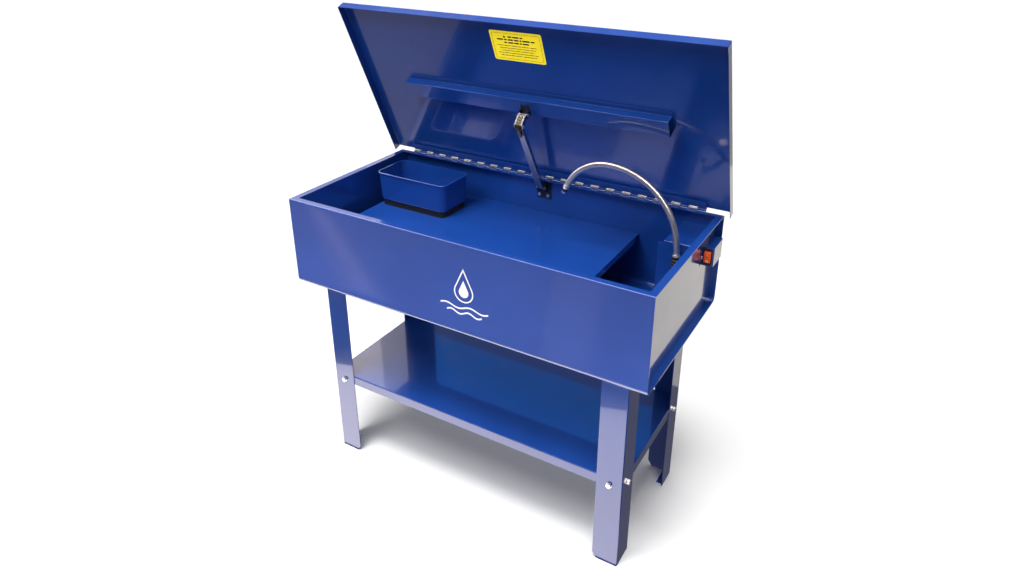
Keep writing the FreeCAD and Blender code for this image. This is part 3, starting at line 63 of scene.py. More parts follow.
# Gooseneck spout
NECK_X = 0.490
NECK_Y = 0.084
NECK_PIVOT_Z = 0.844
NECK_START_Z = 0.834
NECK_RISE = 0.034
NECK_LEAN = math.radians(9)
NECK_ARCH_R = 0.202
NECK_TIP_R = 0.133
NECK_TIP_TURN = math.radians(65)
NECK_TAIL = 0.006
NECK_R = 0.0088
RIB_DEPTH = 0.0006
RIB_PITCH = 0.0034
RIB_SAMPLES = 4
NECK_SIDES = 24
COLLAR_LOW = 0.828
FITTING_LOW = 0.796
FERRULE_LENGTH = 0.009
NOZZLE_LENGTH = 0.017
MOUTH_LENGTH = 0.006

# Beads of solder on the fusible strip, at distances from the stay's elbow
ELBOW = Vector((-0.004, 0.1039, 1.1049))
LINK_TURN = math.radians(49.4)
ARM_TURN = math.radians(120.3)
BEADS_ON_LINK = (0.0235, 0.0155, 0.0075)
BEADS_ON_ARM = (0.0040, 0.0120, 0.0200, 0.0280)
LINK_LIFT = 0.0121
ARM_LIFT = 0.0103
BEAD_R = 0.0041
BEAD_RISE = 0.0032
BEAD_STEPS = 9

# Print: the low side of each print is sunk in what it is on, and the high side stands out
PRINT_LOW = -0.0001
PRINT_HIGH = 0.0002

# Mark on the tank's front. A drop is its radius and the height of its tip; a wave is its width
# and its level
FRONT_Y = -0.264
MARK_X = 0.045
MARK_Z = 0.760
DROP_OUTSIDE = (0.0300, 0.0700)
DROP_INSIDE = (0.0265, 0.0618)
DROP_CORE = (0.0150, 0.0350)
WAVES = ((0.150, -0.046), (0.110, -0.062))
WAVE_SWING = 0.0045
WAVE_THICK = 0.0045

# Label in the lid. A title row is its level and half its width, and a word is so many letters
LABEL_MID_Y = -0.2021
LABEL_Z = 0.9095
LABEL_WIDTH = 0.160
LABEL_HEIGHT = 0.093
BORDER_INSET = 0.0060
BORDER_WIDTH = 0.0010
BORDER_CORNER = 0.0040
SIGN_X = -0.0350
SIGN_LOW = 0.0262
SIGN_HIGH = 0.0338
SIGN_HALF = 0.0050
WORD_LENGTHS = (4, 7, 3, 6, 5, 2, 8)
LETTER_WIDTH = 0.62
TITLE_ROWS = ((0.0270, 0.024), (0.0180, 0.060), (0.0090, 0.038))
TITLE_HEIGHT = 0.0046
SMALL_ROWS = 5
SMALL_TOP = 0.0005
SMALL_STEP = 0.0078
SMALL_HEIGHT = 0.0022
SMALL_HALF = 0.062
SMALL_INDENT = 0.006
SMALL_INDENTS = 3

# Switch: its rocker and the box's screws
SWITCH_X = 0.556
SWITCH_Z = 0.8165
ROCKER_PIVOT_Y = 0.152
ROCKER_FACE_Y = 0.144
ROCKER_TILT = math.radians(8)
ROCKER_SLOPE = math.radians(7.4)
ROCKER_MARK_RISE = 0.0095
ROCKER_BAR_HALF_WIDTH = 0.0007
ROCKER_BAR_HALF_HEIGHT = 0.0032
ROCKER_RING_OUTSIDE = 0.0034
ROCKER_RING_INSIDE = 0.0022
SCREW_HEAD_X = 0.5432
SCREW_YS = (0.137, 0.243)
# Size and height of the black cross painted on each screw head as the shade of its recess
RECESS_HALF_LENGTH = 0.0024
RECESS_HALF_WIDTH = 0.0004
RECESS_LOW = 0.0020
RECESS_HIGH = 0.00285

# Crisp edges of CAD pieces that are rounded: the radius, and the pieces that have it
SOFTENED = (
    (0.0005, ("shelf_bolts", "shelf_nuts", "leg_nuts", "stay_bracket_bolts",
              "stay_bracket_nuts", "bulkhead_nuts", "drain_plug", "power_gland")),
    (0.0003, ("stay_arm", "stay_link", "stay_lid_bracket", "stay_wall_bracket", "switch_body")),
    (0.0030, ("pump_cover",)),
    (0.0006, ("lid_stiffener", "lower_shelf", "work_shelf", "switch_box")),
)
SHARP_EDGE = math.radians(35)
WELD_REACH = 0.00001

# Camera, placed and turned as the photo's was
CAMERA_PLACE = Vector((1.0282, -1.6726, 1.7265))
CAMERA_AZIMUTH = math.radians(30.3)
CAMERA_ELEVATION = math.radians(23.6)
CAMERA_ROLL = math.radians(0.2)
LENS_MM = 26.52
SHIFT_X = -0.005
SHIFT_Y = -0.070

# Stage: where its walls and ceiling hang, how far the floor goes and how far apart its cards lie
FLOOR_REACH = 25.0
SWEEP_LIFT = 0.0005
WALL_Y = 3.2
CEILING_Z = 3.4
CEILING_GLOW = 7.0

IN_PLACE = Matrix.Identity(4)


# Mesh helpers

def piece(name, mesh_data, material, body):
    """A new object from bmesh data, shaded smooth but for its sharp edges. It rides on the body,
    where one is given."""
    mesh = bpy.data.meshes.new(name)
    bmesh.ops.recalc_face_normals(mesh_data, faces=mesh_data.faces)
    mesh_data.to_mesh(mesh)
    mesh_data.free()
    mesh.shade_smooth()
    mesh.set_sharp_from_angle(angle=SHARP_EDGE)
    obj = bpy.data.objects.new(name, mesh)
    bpy.context.scene.collection.objects.link(obj)
    mesh.materials.append(material)
    if body:
        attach(obj, body)
    return obj


def turned_to(axis):
    """Rotation that takes +Z to axis."""
    return Vector(axis).to_track_quat("Z", "Y").to_matrix().to_4x4()


def open_lid(bm):
    """Turns what was laid out on the shut lid up to where the open lid has it."""
    turn = Matrix.Translation(HINGE) @ Matrix.Rotation(-LID_OPEN, 4, "X")
    bm.transform(turn @ Matrix.Translation(-HINGE))


def add_lathe(bm, profile, place, sides=32, hollow=False):
    """Solid of revolution from (height, radius) pairs, put at place. A hollow one is a ring whose
    profile closes on itself; any other is closed at both ends."""
    rings = []
    for height, radius in profile:
        ring = []
        for i in range(sides):
            turn = 2 * math.pi * i / sides
            point = Vector((radius * math.cos(turn), radius * math.sin(turn), height))
            ring.append(bm.verts.new(place @ point))
        rings.append(ring)
    if hollow:
        rings.append(rings[0])
    for low, high in zip(rings, rings[1:]):
        for i in range(sides):
            j = (i + 1) % sides
            bm.faces.new((low[i], low[j], high[j], high[i]))
    if not hollow:
        bm.faces.new(rings[0][::-1])
        bm.faces.new(rings[-1])


def add_plate(bm, outline, low, high, place=IN_PLACE):
    """Flat plate from an outline of (x, y) points, between two heights, put at place."""
    bottom = [bm.verts.new(place @ Vector((x, y, low))) for x, y in outline]
    top = [bm.verts.new(place @ Vector((x, y, high))) for x, y in outline]
    count = len(outline)
    for i in range(count):
        j = (i + 1) % count
        bm.faces.new((bottom[i], bottom[j], top[j], top[i]))
    bm.faces.new(bottom[::-1])
    bm.faces.new(top)


def add_frame_plate(bm, outer, inner, low, high, place=IN_PLACE):
    """Flat ring between two outlines of as many points each, put at place."""
    count = len(outer)
    loops = []
    for outline, z in ((outer, low), (inner, low), (inner, high), (outer, high)):
        loops.append([bm.verts.new(place @ Vector((x, y, z))) for x, y in outline])
    for first, second in zip(loops, loops[1:] + loops[:1]):
        for i in range(count):
            j = (i + 1) % count
            bm.faces.new((first[j], first[i], second[i], second[j]))


def rounded_rectangle(width, height, corner, steps=6):
    """Outline about the origin, anticlockwise."""
    points = []
    for quarter in range(4):
        sign_x = 1 if quarter in (0, 3) else -1
        sign_y = 1 if quarter in (0, 1) else -1
        centre_x = sign_x * (width / 2 - corner)
        centre_y = sign_y * (height / 2 - corner)
        for step in range(steps + 1):
            turn = math.radians(90 * (quarter + step / steps))
            points.append((centre_x + corner * math.cos(turn), centre_y + corner * math.sin(turn)))
    return points


def drop_outline(radius, height, steps=40):
    """Outline of a water drop: a round bottom about the origin, drawn up to a tip at height."""
    shoulder = math.acos(radius / height)
    start = math.pi / 2 + shoulder
    points = []
    for i in range(steps + 1):
        turn = start + (2 * math.pi - 2 * shoulder) * i / steps
        points.append((radius * math.cos(turn), radius * math.sin(turn)))
    points.append((0.0, height))
    return points


def wave_outline(width, level, swing, thick, steps=40):
    """Outline of a stripe that waves twice over its width."""
    middle = []
    for i in range(steps + 1):
        share = i / steps
        middle.append((width * (share - 0.5), level + swing * math.sin(4 * math.pi * share)))
    bottom = [(x, y - thick / 2) for x, y in middle]
    top = [(x, y + thick / 2) for x, y in middle]
    return bottom + top[::-1]


def circle_outline(radius, sides=32):
    """Outline of a circle about the origin, anticlockwise."""
    turns = [2 * math.pi * i / sides for i in range(sides)]
    return [(radius * math.cos(turn), radius * math.sin(turn)) for turn in turns]


def bar_outline(left, right, low, high):
    """Outline of an upright rectangle."""
    return [(left, low), (right, low), (right, high), (left, high)]


def soften(node, width):
    """Rounds the crisp edges of a CAD piece as plating, tumbling or paint would."""
    weld = NODES[node].modifiers.new("weld", "WELD")
    weld.merge_threshold = WELD_REACH
    bevel = NODES[node].modifiers.new("bevel", "BEVEL")
    bevel.width = width
    bevel.segments = 2
    bevel.limit_method = "ANGLE"
    bevel.angle_limit = SHARP_EDGE


# Material helpers

def principled(name, color, metallic=0.0, roughness=0.5, coat=0.0, coat_roughness=0.05):
    """A material with its even values set on the shader's own sockets."""
    material = bpy.data.materials.new(name)
    material.use_nodes = True
    material.diffuse_color = (*color, 1)
    shader = material.node_tree.nodes["Principled BSDF"]
    shader.inputs["Base Color"].default_value = (*color, 1)
    shader.inputs["Metallic"].default_value = metallic
    shader.inputs["Roughness"].default_value = roughness
    shader.inputs["Coat Weight"].default_value = coat
    shader.inputs["Coat Roughness"].default_value = coat_roughness
    return material


def noise(material, scale, detail=2.0):
    """Noise over the part's own coordinates, as a 0 to 1 socket."""
    nodes = material.node_tree.nodes
    coordinates = nodes.new("ShaderNodeTexCoord")
    texture = nodes.new("ShaderNodeTexNoise")
    texture.inputs["Scale"].default_value = scale
    texture.inputs["Detail"].default_value = detail
    material.node_tree.links.new(coordinates.outputs["Object"], texture.inputs["Vector"])
    return texture.outputs["Fac"]


def vary_color(material, source, dark, light):
    """Base colour from dark to light as the source socket goes from 0 to 1."""
    ramp = material.node_tree.nodes.new("ShaderNodeValToRGB")
    first, last = ramp.color_ramp.elements
    first.color = (*dark, 1)
    last.color = (*light, 1)
    shader = material.node_tree.nodes["Principled BSDF"]
    material.node_tree.links.new(source, ramp.inputs["Fac"])
    material.node_tree.links.new(ramp.outputs["Color"], shader.inputs["Base Color"])


def vary_roughness(material, source, smooth, rough):
    """Roughness from smooth to rough as the source socket goes from 0 to 1."""
    spread = material.node_tree.nodes.new("ShaderNodeMapRange")
    spread.inputs["To Min"].default_value = smooth
    spread.inputs["To Max"].default_value = rough
    shader = material.node_tree.nodes["Principled BSDF"]
    material.node_tree.links.new(source, spread.inputs["Value"])
    material.node_tree.links.new(spread.outputs["Result"], shader.inputs["Roughness"])


def add_bump(material, source, strength, distance):
    """Surface relief from the source socket."""
    bump = material.node_tree.nodes.new("ShaderNodeBump")
    bump.inputs["Strength"].default_value = strength
    bump.inputs["Distance"].default_value = distance
    shader = material.node_tree.nodes["Principled BSDF"]
    links = material.node_tree.links
    links.new(source, bump.inputs["Height"])
    links.new(bump.outputs["Normal"], shader.inputs["Normal"])


def powder_coat(name, dark, light, roughness, coat):
    """Baked powder paint: orange peel, and a little unevenness of colour and gloss."""
    material = principled(name, light, 0.0, roughness, coat, 0.04)
    patches = noise(material, scale=6.0, detail=1.0)
    vary_color(material, patches, dark, light)
    haze = noise(material, scale=14.0, detail=1.0)
    vary_roughness(material, haze, roughness - 0.08, roughness + 0.10)
    orange_peel = noise(material, scale=160.0, detail=0.0)
    add_bump(material, orange_peel, strength=0.04, distance=0.0006)
    return material


def metal(name, dark, light, smooth, rough, metallic=1.0):
    """Bare or plated metal with patchy tone and fine marks."""
    material = principled(name, light, metallic, rough)
    patches = noise(material, scale=30.0)
    vary_color(material, patches, dark, light)
    marks = noise(material, scale=120.0)
    vary_roughness(material, marks, smooth, rough)
    add_bump(material, marks, strength=0.06, distance=0.0003)
    return material


def moulded(name, dark, light, roughness, grain_scale, grain):
    """Plastic or rubber with a fine moulded grain."""
    material = principled(name, light, 0.0, roughness)
    mottle = noise(material, scale=40.0, detail=3.0)
    vary_color(material, mottle, dark, light)
    haze = noise(material, scale=25.0)
    vary_roughness(material, haze, roughness - 0.06, roughness + 0.06)
    add_bump(material, noise(material, grain_scale), strength=grain, distance=0.0003)
    return material


def add_glow(material, color, strength):
    """A little light of its own: the lamp inside a lit rocker, or painted light that brightens a label
    """
    shader = material.node_tree.nodes["Principled BSDF"]
    shader.inputs["Emission Color"].default_value = (*color, 1)
    shader.inputs["Emission Strength"].default_value = strength


# Paint: its darkest and lightest colour, its roughness and how much clear coat it has
BLUE = powder_coat("powder_blue", (0.0075, 0.046, 0.250), (0.0115, 0.066, 0.345), 0.20, 1.0)
BLACK = powder_coat("powder_black", (0.010, 0.010, 0.012), (0.018, 0.018, 0.021), 0.38, 0.5)

# Metal: its darkest and lightest colour, its least and greatest roughness, and how metallic it is
ZINC = metal("zinc_plate", (0.74, 0.73, 0.70), (0.90, 0.90, 0.88), 0.22, 0.36, 0.90)
CHROME = metal("stay_chrome", (0.34, 0.34, 0.36), (0.50, 0.50, 0.52), 0.16, 0.26)
STEEL = metal("spout_steel", (0.80, 0.77, 0.70), (0.94, 0.92, 0.86), 0.26, 0.38)
BRASS = metal("brass_strip", (0.060, 0.050, 0.028), (0.30, 0.26, 0.16), 0.34, 0.52)
SOLDER = metal("solder", (0.30, 0.28, 0.23), (0.62, 0.59, 0.50), 0.24, 0.40)

# Rubber, plastic and print: darkest and lightest colour, roughness, fineness and depth of grain
RUBBER = moulded("black_rubber", (0.008, 0.008, 0.009), (0.016, 0.016, 0.017), 0.72, 900.0, 0.3)
PLASTIC = moulded("black_plastic", (0.012, 0.012, 0.014), (0.022, 0.022, 0.025), 0.42, 1400.0, 0.2)
MILKY = moulded("milky_tube", (0.60, 0.62, 0.58), (0.74, 0.76, 0.72), 0.30, 300.0, 0.05)
RED = moulded("red_rocker", (0.78, 0.065, 0.012), (0.95, 0.13, 0.03), 0.26, 500.0, 0.05)
YELLOW = moulded("label_yellow", (0.90, 0.74, 0.006), (0.98, 0.84, 0.012), 0.34, 500.0, 0.05)
INK = moulded("label_ink", (0.010, 0.010, 0.010), (0.022, 0.022, 0.020), 0.45, 700.0, 0.1)
WHITE = moulded("white_print", (0.80, 0.81, 0.84), (0.90, 0.90, 0.92), 0.40, 700.0, 0.1)

add_glow(RED, (1.0, 0.14, 0.03), 0.14)
# The label's glow is painted light: it lifts the label above what the lamps give it inside the lid
add_glow(YELLOW, (1.0, 0.74, 0.01), 0.52)

SLOT_MATERIALS = {
    "blue_paint": BLUE,
    "black_paint": BLACK,
    "zinc_plate": ZINC,
    "spout_metal": STEEL,
    "brass": BRASS,
    "black_rubber": RUBBER,
    "black_plastic": PLASTIC,
    "clear_tube": MILKY,
    "red_plastic": RED,
    "yellow_label": YELLOW,
}
for part in frame["record"]["subparts"]:
    mesh = NODES[part["node"]].data
    mesh.materials.clear()
    mesh.materials.append(SLOT_MATERIALS[part["material_slot"]])
for bar in ("stay_arm", "stay_link"):
    NODES[bar].data.materials[0] = CHROME


# Hinge: the tank leaf's knuckles are bare, and the rest of both leaves is painted

knuckles = NODES["hinge_leaf_tank"].data
knuckles.materials.append(ZINC)
for face in knuckles.polygons:
    reach = math.hypot(face.center.y - HINGE.y, face.center.z - HINGE.z)
    if reach < KNUCKLE_REACH:
        face.material_index = 1


# Gooseneck

def neck_line(step):
    """Places along the gooseneck, about step apart, each with the direction it runs in."""
    line = []

    def straight(x, z, turn, length):
        count = max(1, round(length / step))
        for i in range(count):
            reach = length * i / count
            line.append((x + reach * math.cos(turn), z + reach * math.sin(turn), turn))
        return x + length * math.cos(turn), z + length * math.sin(turn)

    def curved(x, z, turn, sweep, radius):
        count = max(1, round(sweep * radius / step))
        centre_x = x - radius * math.sin(turn)
        centre_z = z + radius * math.cos(turn)
        for i in range(count):
            now = turn + sweep * i / count
            line.append((centre_x + radius * math.sin(now), centre_z - radius * math.cos(now), now))
        end = turn + sweep
        return centre_x + radius * math.sin(end), centre_z - radius * math.cos(end)

    upright = math.radians(90)
    lean = upright + NECK_LEAN
    level = math.radians(180)
    x, z = straight(NECK_X, NECK_START_Z, upright, NECK_PIVOT_Z - NECK_START_Z)
    x, z = straight(x, z, lean, NECK_RISE)
    x, z = curved(x, z, lean, level - lean, NECK_ARCH_R)
    x, z = curved(x, z, level, NECK_TIP_TURN, NECK_TIP_R)
    x, z = straight(x, z, level + NECK_TIP_TURN, NECK_TAIL)
    line.append((x, z, level + NECK_TIP_TURN))
    return line


def make_gooseneck():
    """Corrugated tube, with several rings of points to each rib. Gives the place of its end."""
    bm = bmesh.new()
    rings = []
    line = neck_line(RIB_PITCH / RIB_SAMPLES)
    for i, (x, z, turn) in enumerate(line):
        swell = 0.5 - 0.5 * math.cos(2 * math.pi * i / RIB_SAMPLES)
        radius = NECK_R - RIB_DEPTH * (1 - swell)
        ring = []
        for k in range(NECK_SIDES):
            around = 2 * math.pi * k / NECK_SIDES
            out = radius * math.cos(around)
            ring.append(bm.verts.new((
                x - out * math.sin(turn),
                NECK_Y + radius * math.sin(around),
                z + out * math.cos(turn),
            )))
        rings.append(ring)
    for low, high in zip(rings, rings[1:]):
        for k in range(NECK_SIDES):
            j = (k + 1) % NECK_SIDES
            bm.faces.new((low[k], high[k], high[j], low[j]))
    bm.faces.new(rings[0])
    bm.faces.new(rings[-1][::-1])
    neck = piece("gooseneck", bm, STEEL, None)
    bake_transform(neck)
    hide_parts("spout_neck")
    return line[-1]


def along_tip(distance):
    """Place at a distance past the gooseneck's end, on its axis, with +Z running on."""
    direction = Vector((math.cos(tip_turn), 0, math.sin(tip_turn)))
    place = Vector((tip_x, NECK_Y, tip_z)) + distance * direction
    return Matrix.Translation(place) @ turned_to(direction)


def make_spout_fitting():
    """Black ringed screw fitting under the gooseneck, and the bright collar that grips it."""
    up = Matrix.Translation((NECK_X, NECK_Y, FITTING_LOW))
    rings = bmesh.new()
    add_lathe(rings, [
        (0.0000, 0.0120), (0.0006, 0.0130), (0.0060, 0.0130), (0.0066, 0.0124),
        (0.0074, 0.0098), (0.0110, 0.0098), (0.0116, 0.0118), (0.0122, 0.0124),
        (0.0150, 0.0124), (0.0156, 0.0118), (0.0162, 0.0096), (0.0190, 0.0096),
        (0.0196, 0.0112), (0.0202, 0.0118), (0.0240, 0.0118), (0.0246, 0.0112),
        (0.0252, 0.0092), (0.0340, 0.0092),
    ], up, sides=48)
    fitting = piece("spout_fitting_rings", rings, PLASTIC, "tank")
    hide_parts("spout_fitting")
    collar = bmesh.new()
    add_lathe(collar, [
        (0.0000, 0.0086), (0.0000, 0.0104), (0.0008, 0.0110), (0.0034, 0.0110),
        (0.0042, 0.0104), (0.0058, 0.0102), (0.0066, 0.0096), (0.0066, 0.0086),
    ], Matrix.Translation((NECK_X, NECK_Y, COLLAR_LOW)), sides=48, hollow=True)
    piece("gooseneck_collar", collar, ZINC, "tank")


def make_spout_tip():
    """Crimped ferrule, black nozzle and the bright ring round its mouth."""
    crimp = bmesh.new()
    add_lathe(crimp, [
        (-0.0010, 0.0074), (-0.0010, 0.0090), (-0.0004, 0.0095), (0.0018, 0.0095),
        (0.0024, 0.0086), (0.0038, 0.0086), (0.0044, 0.0095), (0.0064, 0.0095),
        (0.0070, 0.0087), (0.0078, 0.0087), (0.0084, 0.0094), (0.0090, 0.0090), (0.0090, 0.0060),
    ], along_tip(0), sides=48)
    ferrule = piece("spout_crimp", crimp, ZINC, "spout")
    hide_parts("spout_ferrule")
    start = along_tip(FERRULE_LENGTH)
    barrel = NOZZLE_LENGTH - MOUTH_LENGTH
    shell = bmesh.new()
    add_lathe(shell, [
        (-0.0004, 0.0070), (0.0030, 0.0070), (0.0034, 0.0064), (0.0050, 0.0064),
        (0.0054, 0.0069), (barrel, 0.0062), (barrel, 0.0042), (0.0040, 0.0040), (-0.0004, 0.0040),
    ], start, sides=48, hollow=True)
    nozzle = piece("spout_nozzle_shell", shell, PLASTIC, "spout")
    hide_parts("spout_nozzle")
    ring = bmesh.new()
    add_lathe(ring, [
        (barrel - 0.0002, 0.0042), (barrel - 0.0002, 0.0064), (NOZZLE_LENGTH - 0.0008, 0.0060),
        (NOZZLE_LENGTH, 0.0052), (NOZZLE_LENGTH, 0.0046), (NOZZLE_LENGTH - 0.0008, 0.0042),
    ], start, sides=48, hollow=True)
    piece("spout_mouth_ring", ring, ZINC, "spout")


tip_x, tip_z, tip_turn = make_gooseneck()
make_spout_fitting()
make_spout_tip()


# Fusible link: beads of solder along the strip that bridges the stay's elbow

def make_solder_beads():
    """Low domes on the outside of the strip."""
    bm = bmesh.new()
    profile = []
    for step in range(BEAD_STEPS):
        rise = math.radians(90 * step / BEAD_STEPS)
        profile.append((BEAD_RISE * math.sin(rise), BEAD_R * math.cos(rise)))
    places = [(distance, LINK_TURN, LINK_LIFT) for distance in BEADS_ON_LINK]
    places += [(-distance, ARM_TURN, ARM_LIFT) for distance in BEADS_ON_ARM]
    for distance, turn, lift in places:
        along = Vector((0, math.cos(turn), math.sin(turn)))
        out = Vector((0, -math.sin(turn), math.cos(turn)))
        foot = ELBOW + distance * along + lift * out
        add_lathe(bm, profile, Matrix.Translation(foot) @ turned_to(out), sides=24)
    piece("fusible_link_solder", bm, SOLDER, "stay_link")


make_solder_beads()


# Print: a plain drop and waves on the tank, bars for wording on the label, marks on the switch

def make_front_mark():
    """White water drop in its own outline, over two waves."""
    bm = bmesh.new()
    add_frame_plate(bm, drop_outline(*DROP_OUTSIDE), drop_outline(*DROP_INSIDE), PRINT_LOW, PRINT_HIGH)
    add_plate(bm, drop_outline(*DROP_CORE), PRINT_LOW, PRINT_HIGH)
    for width, level in WAVES:
        add_plate(bm, wave_outline(width, level, WAVE_SWING, WAVE_THICK), PRINT_LOW, PRINT_HIGH)
    bm.transform(Matrix.Translation((MARK_X, FRONT_Y, MARK_Z)) @ Matrix.Rotation(math.pi / 2, 4, "X"))
    piece("front_mark", bm, WHITE, "tank")


def add_words(bm, half, level, height, first):
    """Centred row of plain bars, each as long as a word. first says which word length leads."""
    letter = LETTER_WIDTH * height
    x = -half
    index = first
    while x < half:
        end = min(x + letter * WORD_LENGTHS[index % len(WORD_LENGTHS)], half)
        add_plate(bm, bar_outline(x, end, level, level + height), PRINT_LOW, PRINT_HIGH)
        x = end + letter
        index += 1


def make_label_print():
    """Border, caution triangle and rows of bars on the yellow label."""
    bm = bmesh.new()
    width = LABEL_WIDTH - 2 * BORDER_INSET
    height = LABEL_HEIGHT - 2 * BORDER_INSET
    outer = rounded_rectangle(width, height, BORDER_CORNER)
    inner = rounded_rectangle(width - 2 * BORDER_WIDTH, height - 2 * BORDER_WIDTH,
                              BORDER_CORNER - BORDER_WIDTH)
    add_frame_plate(bm, outer, inner, PRINT_LOW, PRINT_HIGH)
    triangle = [(SIGN_X - SIGN_HALF, SIGN_LOW), (SIGN_X + SIGN_HALF, SIGN_LOW), (SIGN_X, SIGN_HIGH)]
    add_plate(bm, triangle, PRINT_LOW, PRINT_HIGH)
    for row, (level, half) in enumerate(TITLE_ROWS):
        add_words(bm, half, level, TITLE_HEIGHT, row)
    for row in range(SMALL_ROWS):
        half = SMALL_HALF - SMALL_INDENT * (row % SMALL_INDENTS)
        add_words(bm, half, SMALL_TOP - row * SMALL_STEP, SMALL_HEIGHT, row)
    bm.transform(Matrix.Translation((0, LABEL_MID_Y, LABEL_Z)) @ Matrix.Rotation(math.pi, 4, "X"))
    open_lid(bm)
    piece("label_print", bm, INK, "lid")


def on_rocker(side):
    """Place of a mark on the rocker's upper half (side 1) or lower half (side -1), facing out."""
    forward = ROCKER_MARK_RISE * math.tan(ROCKER_SLOPE)
    level = Matrix.Translation((SWITCH_X, ROCKER_FACE_Y - forward, SWITCH_Z + side * ROCKER_MARK_RISE))
    facing = Matrix.Rotation(math.pi / 2 + side * ROCKER_SLOPE, 4, "X")
    pivot = Matrix.Translation((0, ROCKER_PIVOT_Y, SWITCH_Z))
    return pivot @ Matrix.Rotation(ROCKER_TILT, 4, "X") @ pivot.inverted() @ level @ facing


def make_rocker_marks():
    """White bar on the rocker's upper half and white ring on its lower half."""
    bm = bmesh.new()
    bar = bar_outline(-ROCKER_BAR_HALF_WIDTH, ROCKER_BAR_HALF_WIDTH,
                      -ROCKER_BAR_HALF_HEIGHT, ROCKER_BAR_HALF_HEIGHT)
    add_plate(bm, bar, PRINT_LOW, PRINT_HIGH, on_rocker(1))
    add_frame_plate(bm, circle_outline(ROCKER_RING_OUTSIDE), circle_outline(ROCKER_RING_INSIDE),
                    PRINT_LOW, PRINT_HIGH, on_rocker(-1))
    piece("rocker_marks", bm, WHITE, "switch_rocker")


make_front_mark()
make_label_print()
make_rocker_marks()


# Fasteners

def make_switch_screws():
    """Pan-head screws holding the switch box's tabs, each with a black cross on its head: painted
    shade of its cross recess.
    """
    heads = bmesh.new()
    painted_recess_shade = bmesh.new()
    slot = bar_outline(-RECESS_HALF_LENGTH, RECESS_HALF_LENGTH, -RECESS_HALF_WIDTH, RECESS_HALF_WIDTH)
    for y in SCREW_YS:
        out = Matrix.Translation((SCREW_HEAD_X, y, SWITCH_Z)) @ turned_to((1, 0, 0))
        add_lathe(heads, [
            (-0.0087, 0.0010), (-0.0070, 0.0024), (0.0000, 0.0024), (0.0000, 0.0047),
            (0.0006, 0.0048), (0.0016, 0.0045), (0.0023, 0.0036), (0.0027, 0.0022), (0.0028, 0.0008),
        ], out)
        # The black cross is painted shade: it stands for the shade inside the cross recess
        for turn in (45, 135):
            turned = Matrix.Rotation(math.radians(turn), 4, "Z")
            add_plate(painted_recess_shade, slot, RECESS_LOW, RECESS_HIGH, out @ turned)
    screws = piece("switch_screw_heads", heads, ZINC, "tank")
    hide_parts("switch_box_screws")
    piece("switch_screw_painted_recess_shade", painted_recess_shade, INK, "tank")


make_switch_screws()
for edge_radius, softened_nodes in SOFTENED:
    for node in softened_nodes:
        soften(node, edge_radius)


# Camera and light

camera = bpy.data.objects.new("camera", bpy.data.cameras.new("camera"))
bpy.context.scene.collection.objects.link(camera)
bpy.context.scene.camera = camera
back = Vector((
    math.sin(CAMERA_AZIMUTH) * math.cos(CAMERA_ELEVATION),
    -math.cos(CAMERA_AZIMUTH) * math.cos(CAMERA_ELEVATION),
    math.sin(CAMERA_ELEVATION),
))
camera.location = CAMERA_PLACE
camera.rotation_mode = "QUATERNION"
turn = back.to_track_quat("Z", "Y").to_matrix() @ Matrix.Rotation(CAMERA_ROLL, 3, "Z")
camera.rotation_quaternion = turn.to_quaternion()
camera.data.sensor_width = 36.0
camera.data.lens = LENS_MM
camera.data.shift_x = SHIFT_X
camera.data.shift_y = SHIFT_Y
camera.data.clip_start = 0.05
camera.data.clip_end = 60.0


def plain_plane(name, corners, material):
    """One flat sheet of the stage."""
    bm = bmesh.new()
    bm.faces.new([bm.verts.new(corner) for corner in corners])
    sheet = piece(name, bm, material, None)
    return sheet


floor_material = principled("floor", (0.86, 0.86, 0.86), roughness=0.9)
floor_material.node_tree.nodes["Principled BSDF"].inputs["Specular IOR Level"].default_value = 0.0
floor_corners = bar_outline(-FLOOR_REACH, FLOOR_REACH, -FLOOR_REACH, FLOOR_REACH)
floor = plain_plane("floor", [(x, y, 0) for x, y in floor_corners], floor_material)
floor.visible_diffuse = False
floor.visible_glossy = False


def glow_card(name, corners, color, strength):
    """A card that only glossy rays meet: what the paint mirrors of the lit paper sweep."""
    material = bpy.data.materials.new(name)
    material.use_nodes = True
    nodes = material.node_tree.nodes
    nodes.remove(nodes["Principled BSDF"])
    glow = nodes.new("ShaderNodeEmission")
    glow.inputs["Color"].default_value = (*color, 1)
    glow.inputs["Strength"].default_value = strength
    material.node_tree.links.new(glow.outputs["Emission"], nodes["Material Output"].inputs["Surface"])
    card = plain_plane(name, corners, material)
    card.visible_camera = False
    card.visible_diffuse = False
    card.visible_shadow = False
    card.visible_transmission = False
    card.visible_volume_scatter = False


LILAC = (1.0, 0.92, 0.96)
CREAM = (1.0, 0.94, 0.84)
DUSK = (1.0, 0.78, 0.92)
SKY = (0.04, 0.26, 1.0)


def floor_card(name, corners, color, strength, layer=1):
    """A card lying on the floor, or on the cards of a lower layer."""
    glow_card(name, [(x, y, SWEEP_LIFT * layer) for x, y in corners], color, strength)


def wall_card(name, left, right, low, high, color, strength):
    """A card standing behind the object."""
    corners = bar_outline(left, right, low, high)
    glow_card(name, [(x, WALL_Y, z) for x, z in corners], color, strength)


def ceiling_card(name, left, right, front, rear):
    """A bright card hung level over the object."""
    corners = bar_outline(left, right, front, rear)
    glow_card(name, [(x, y, CEILING_Z) for x, y in corners], LILAC, CEILING_GLOW)


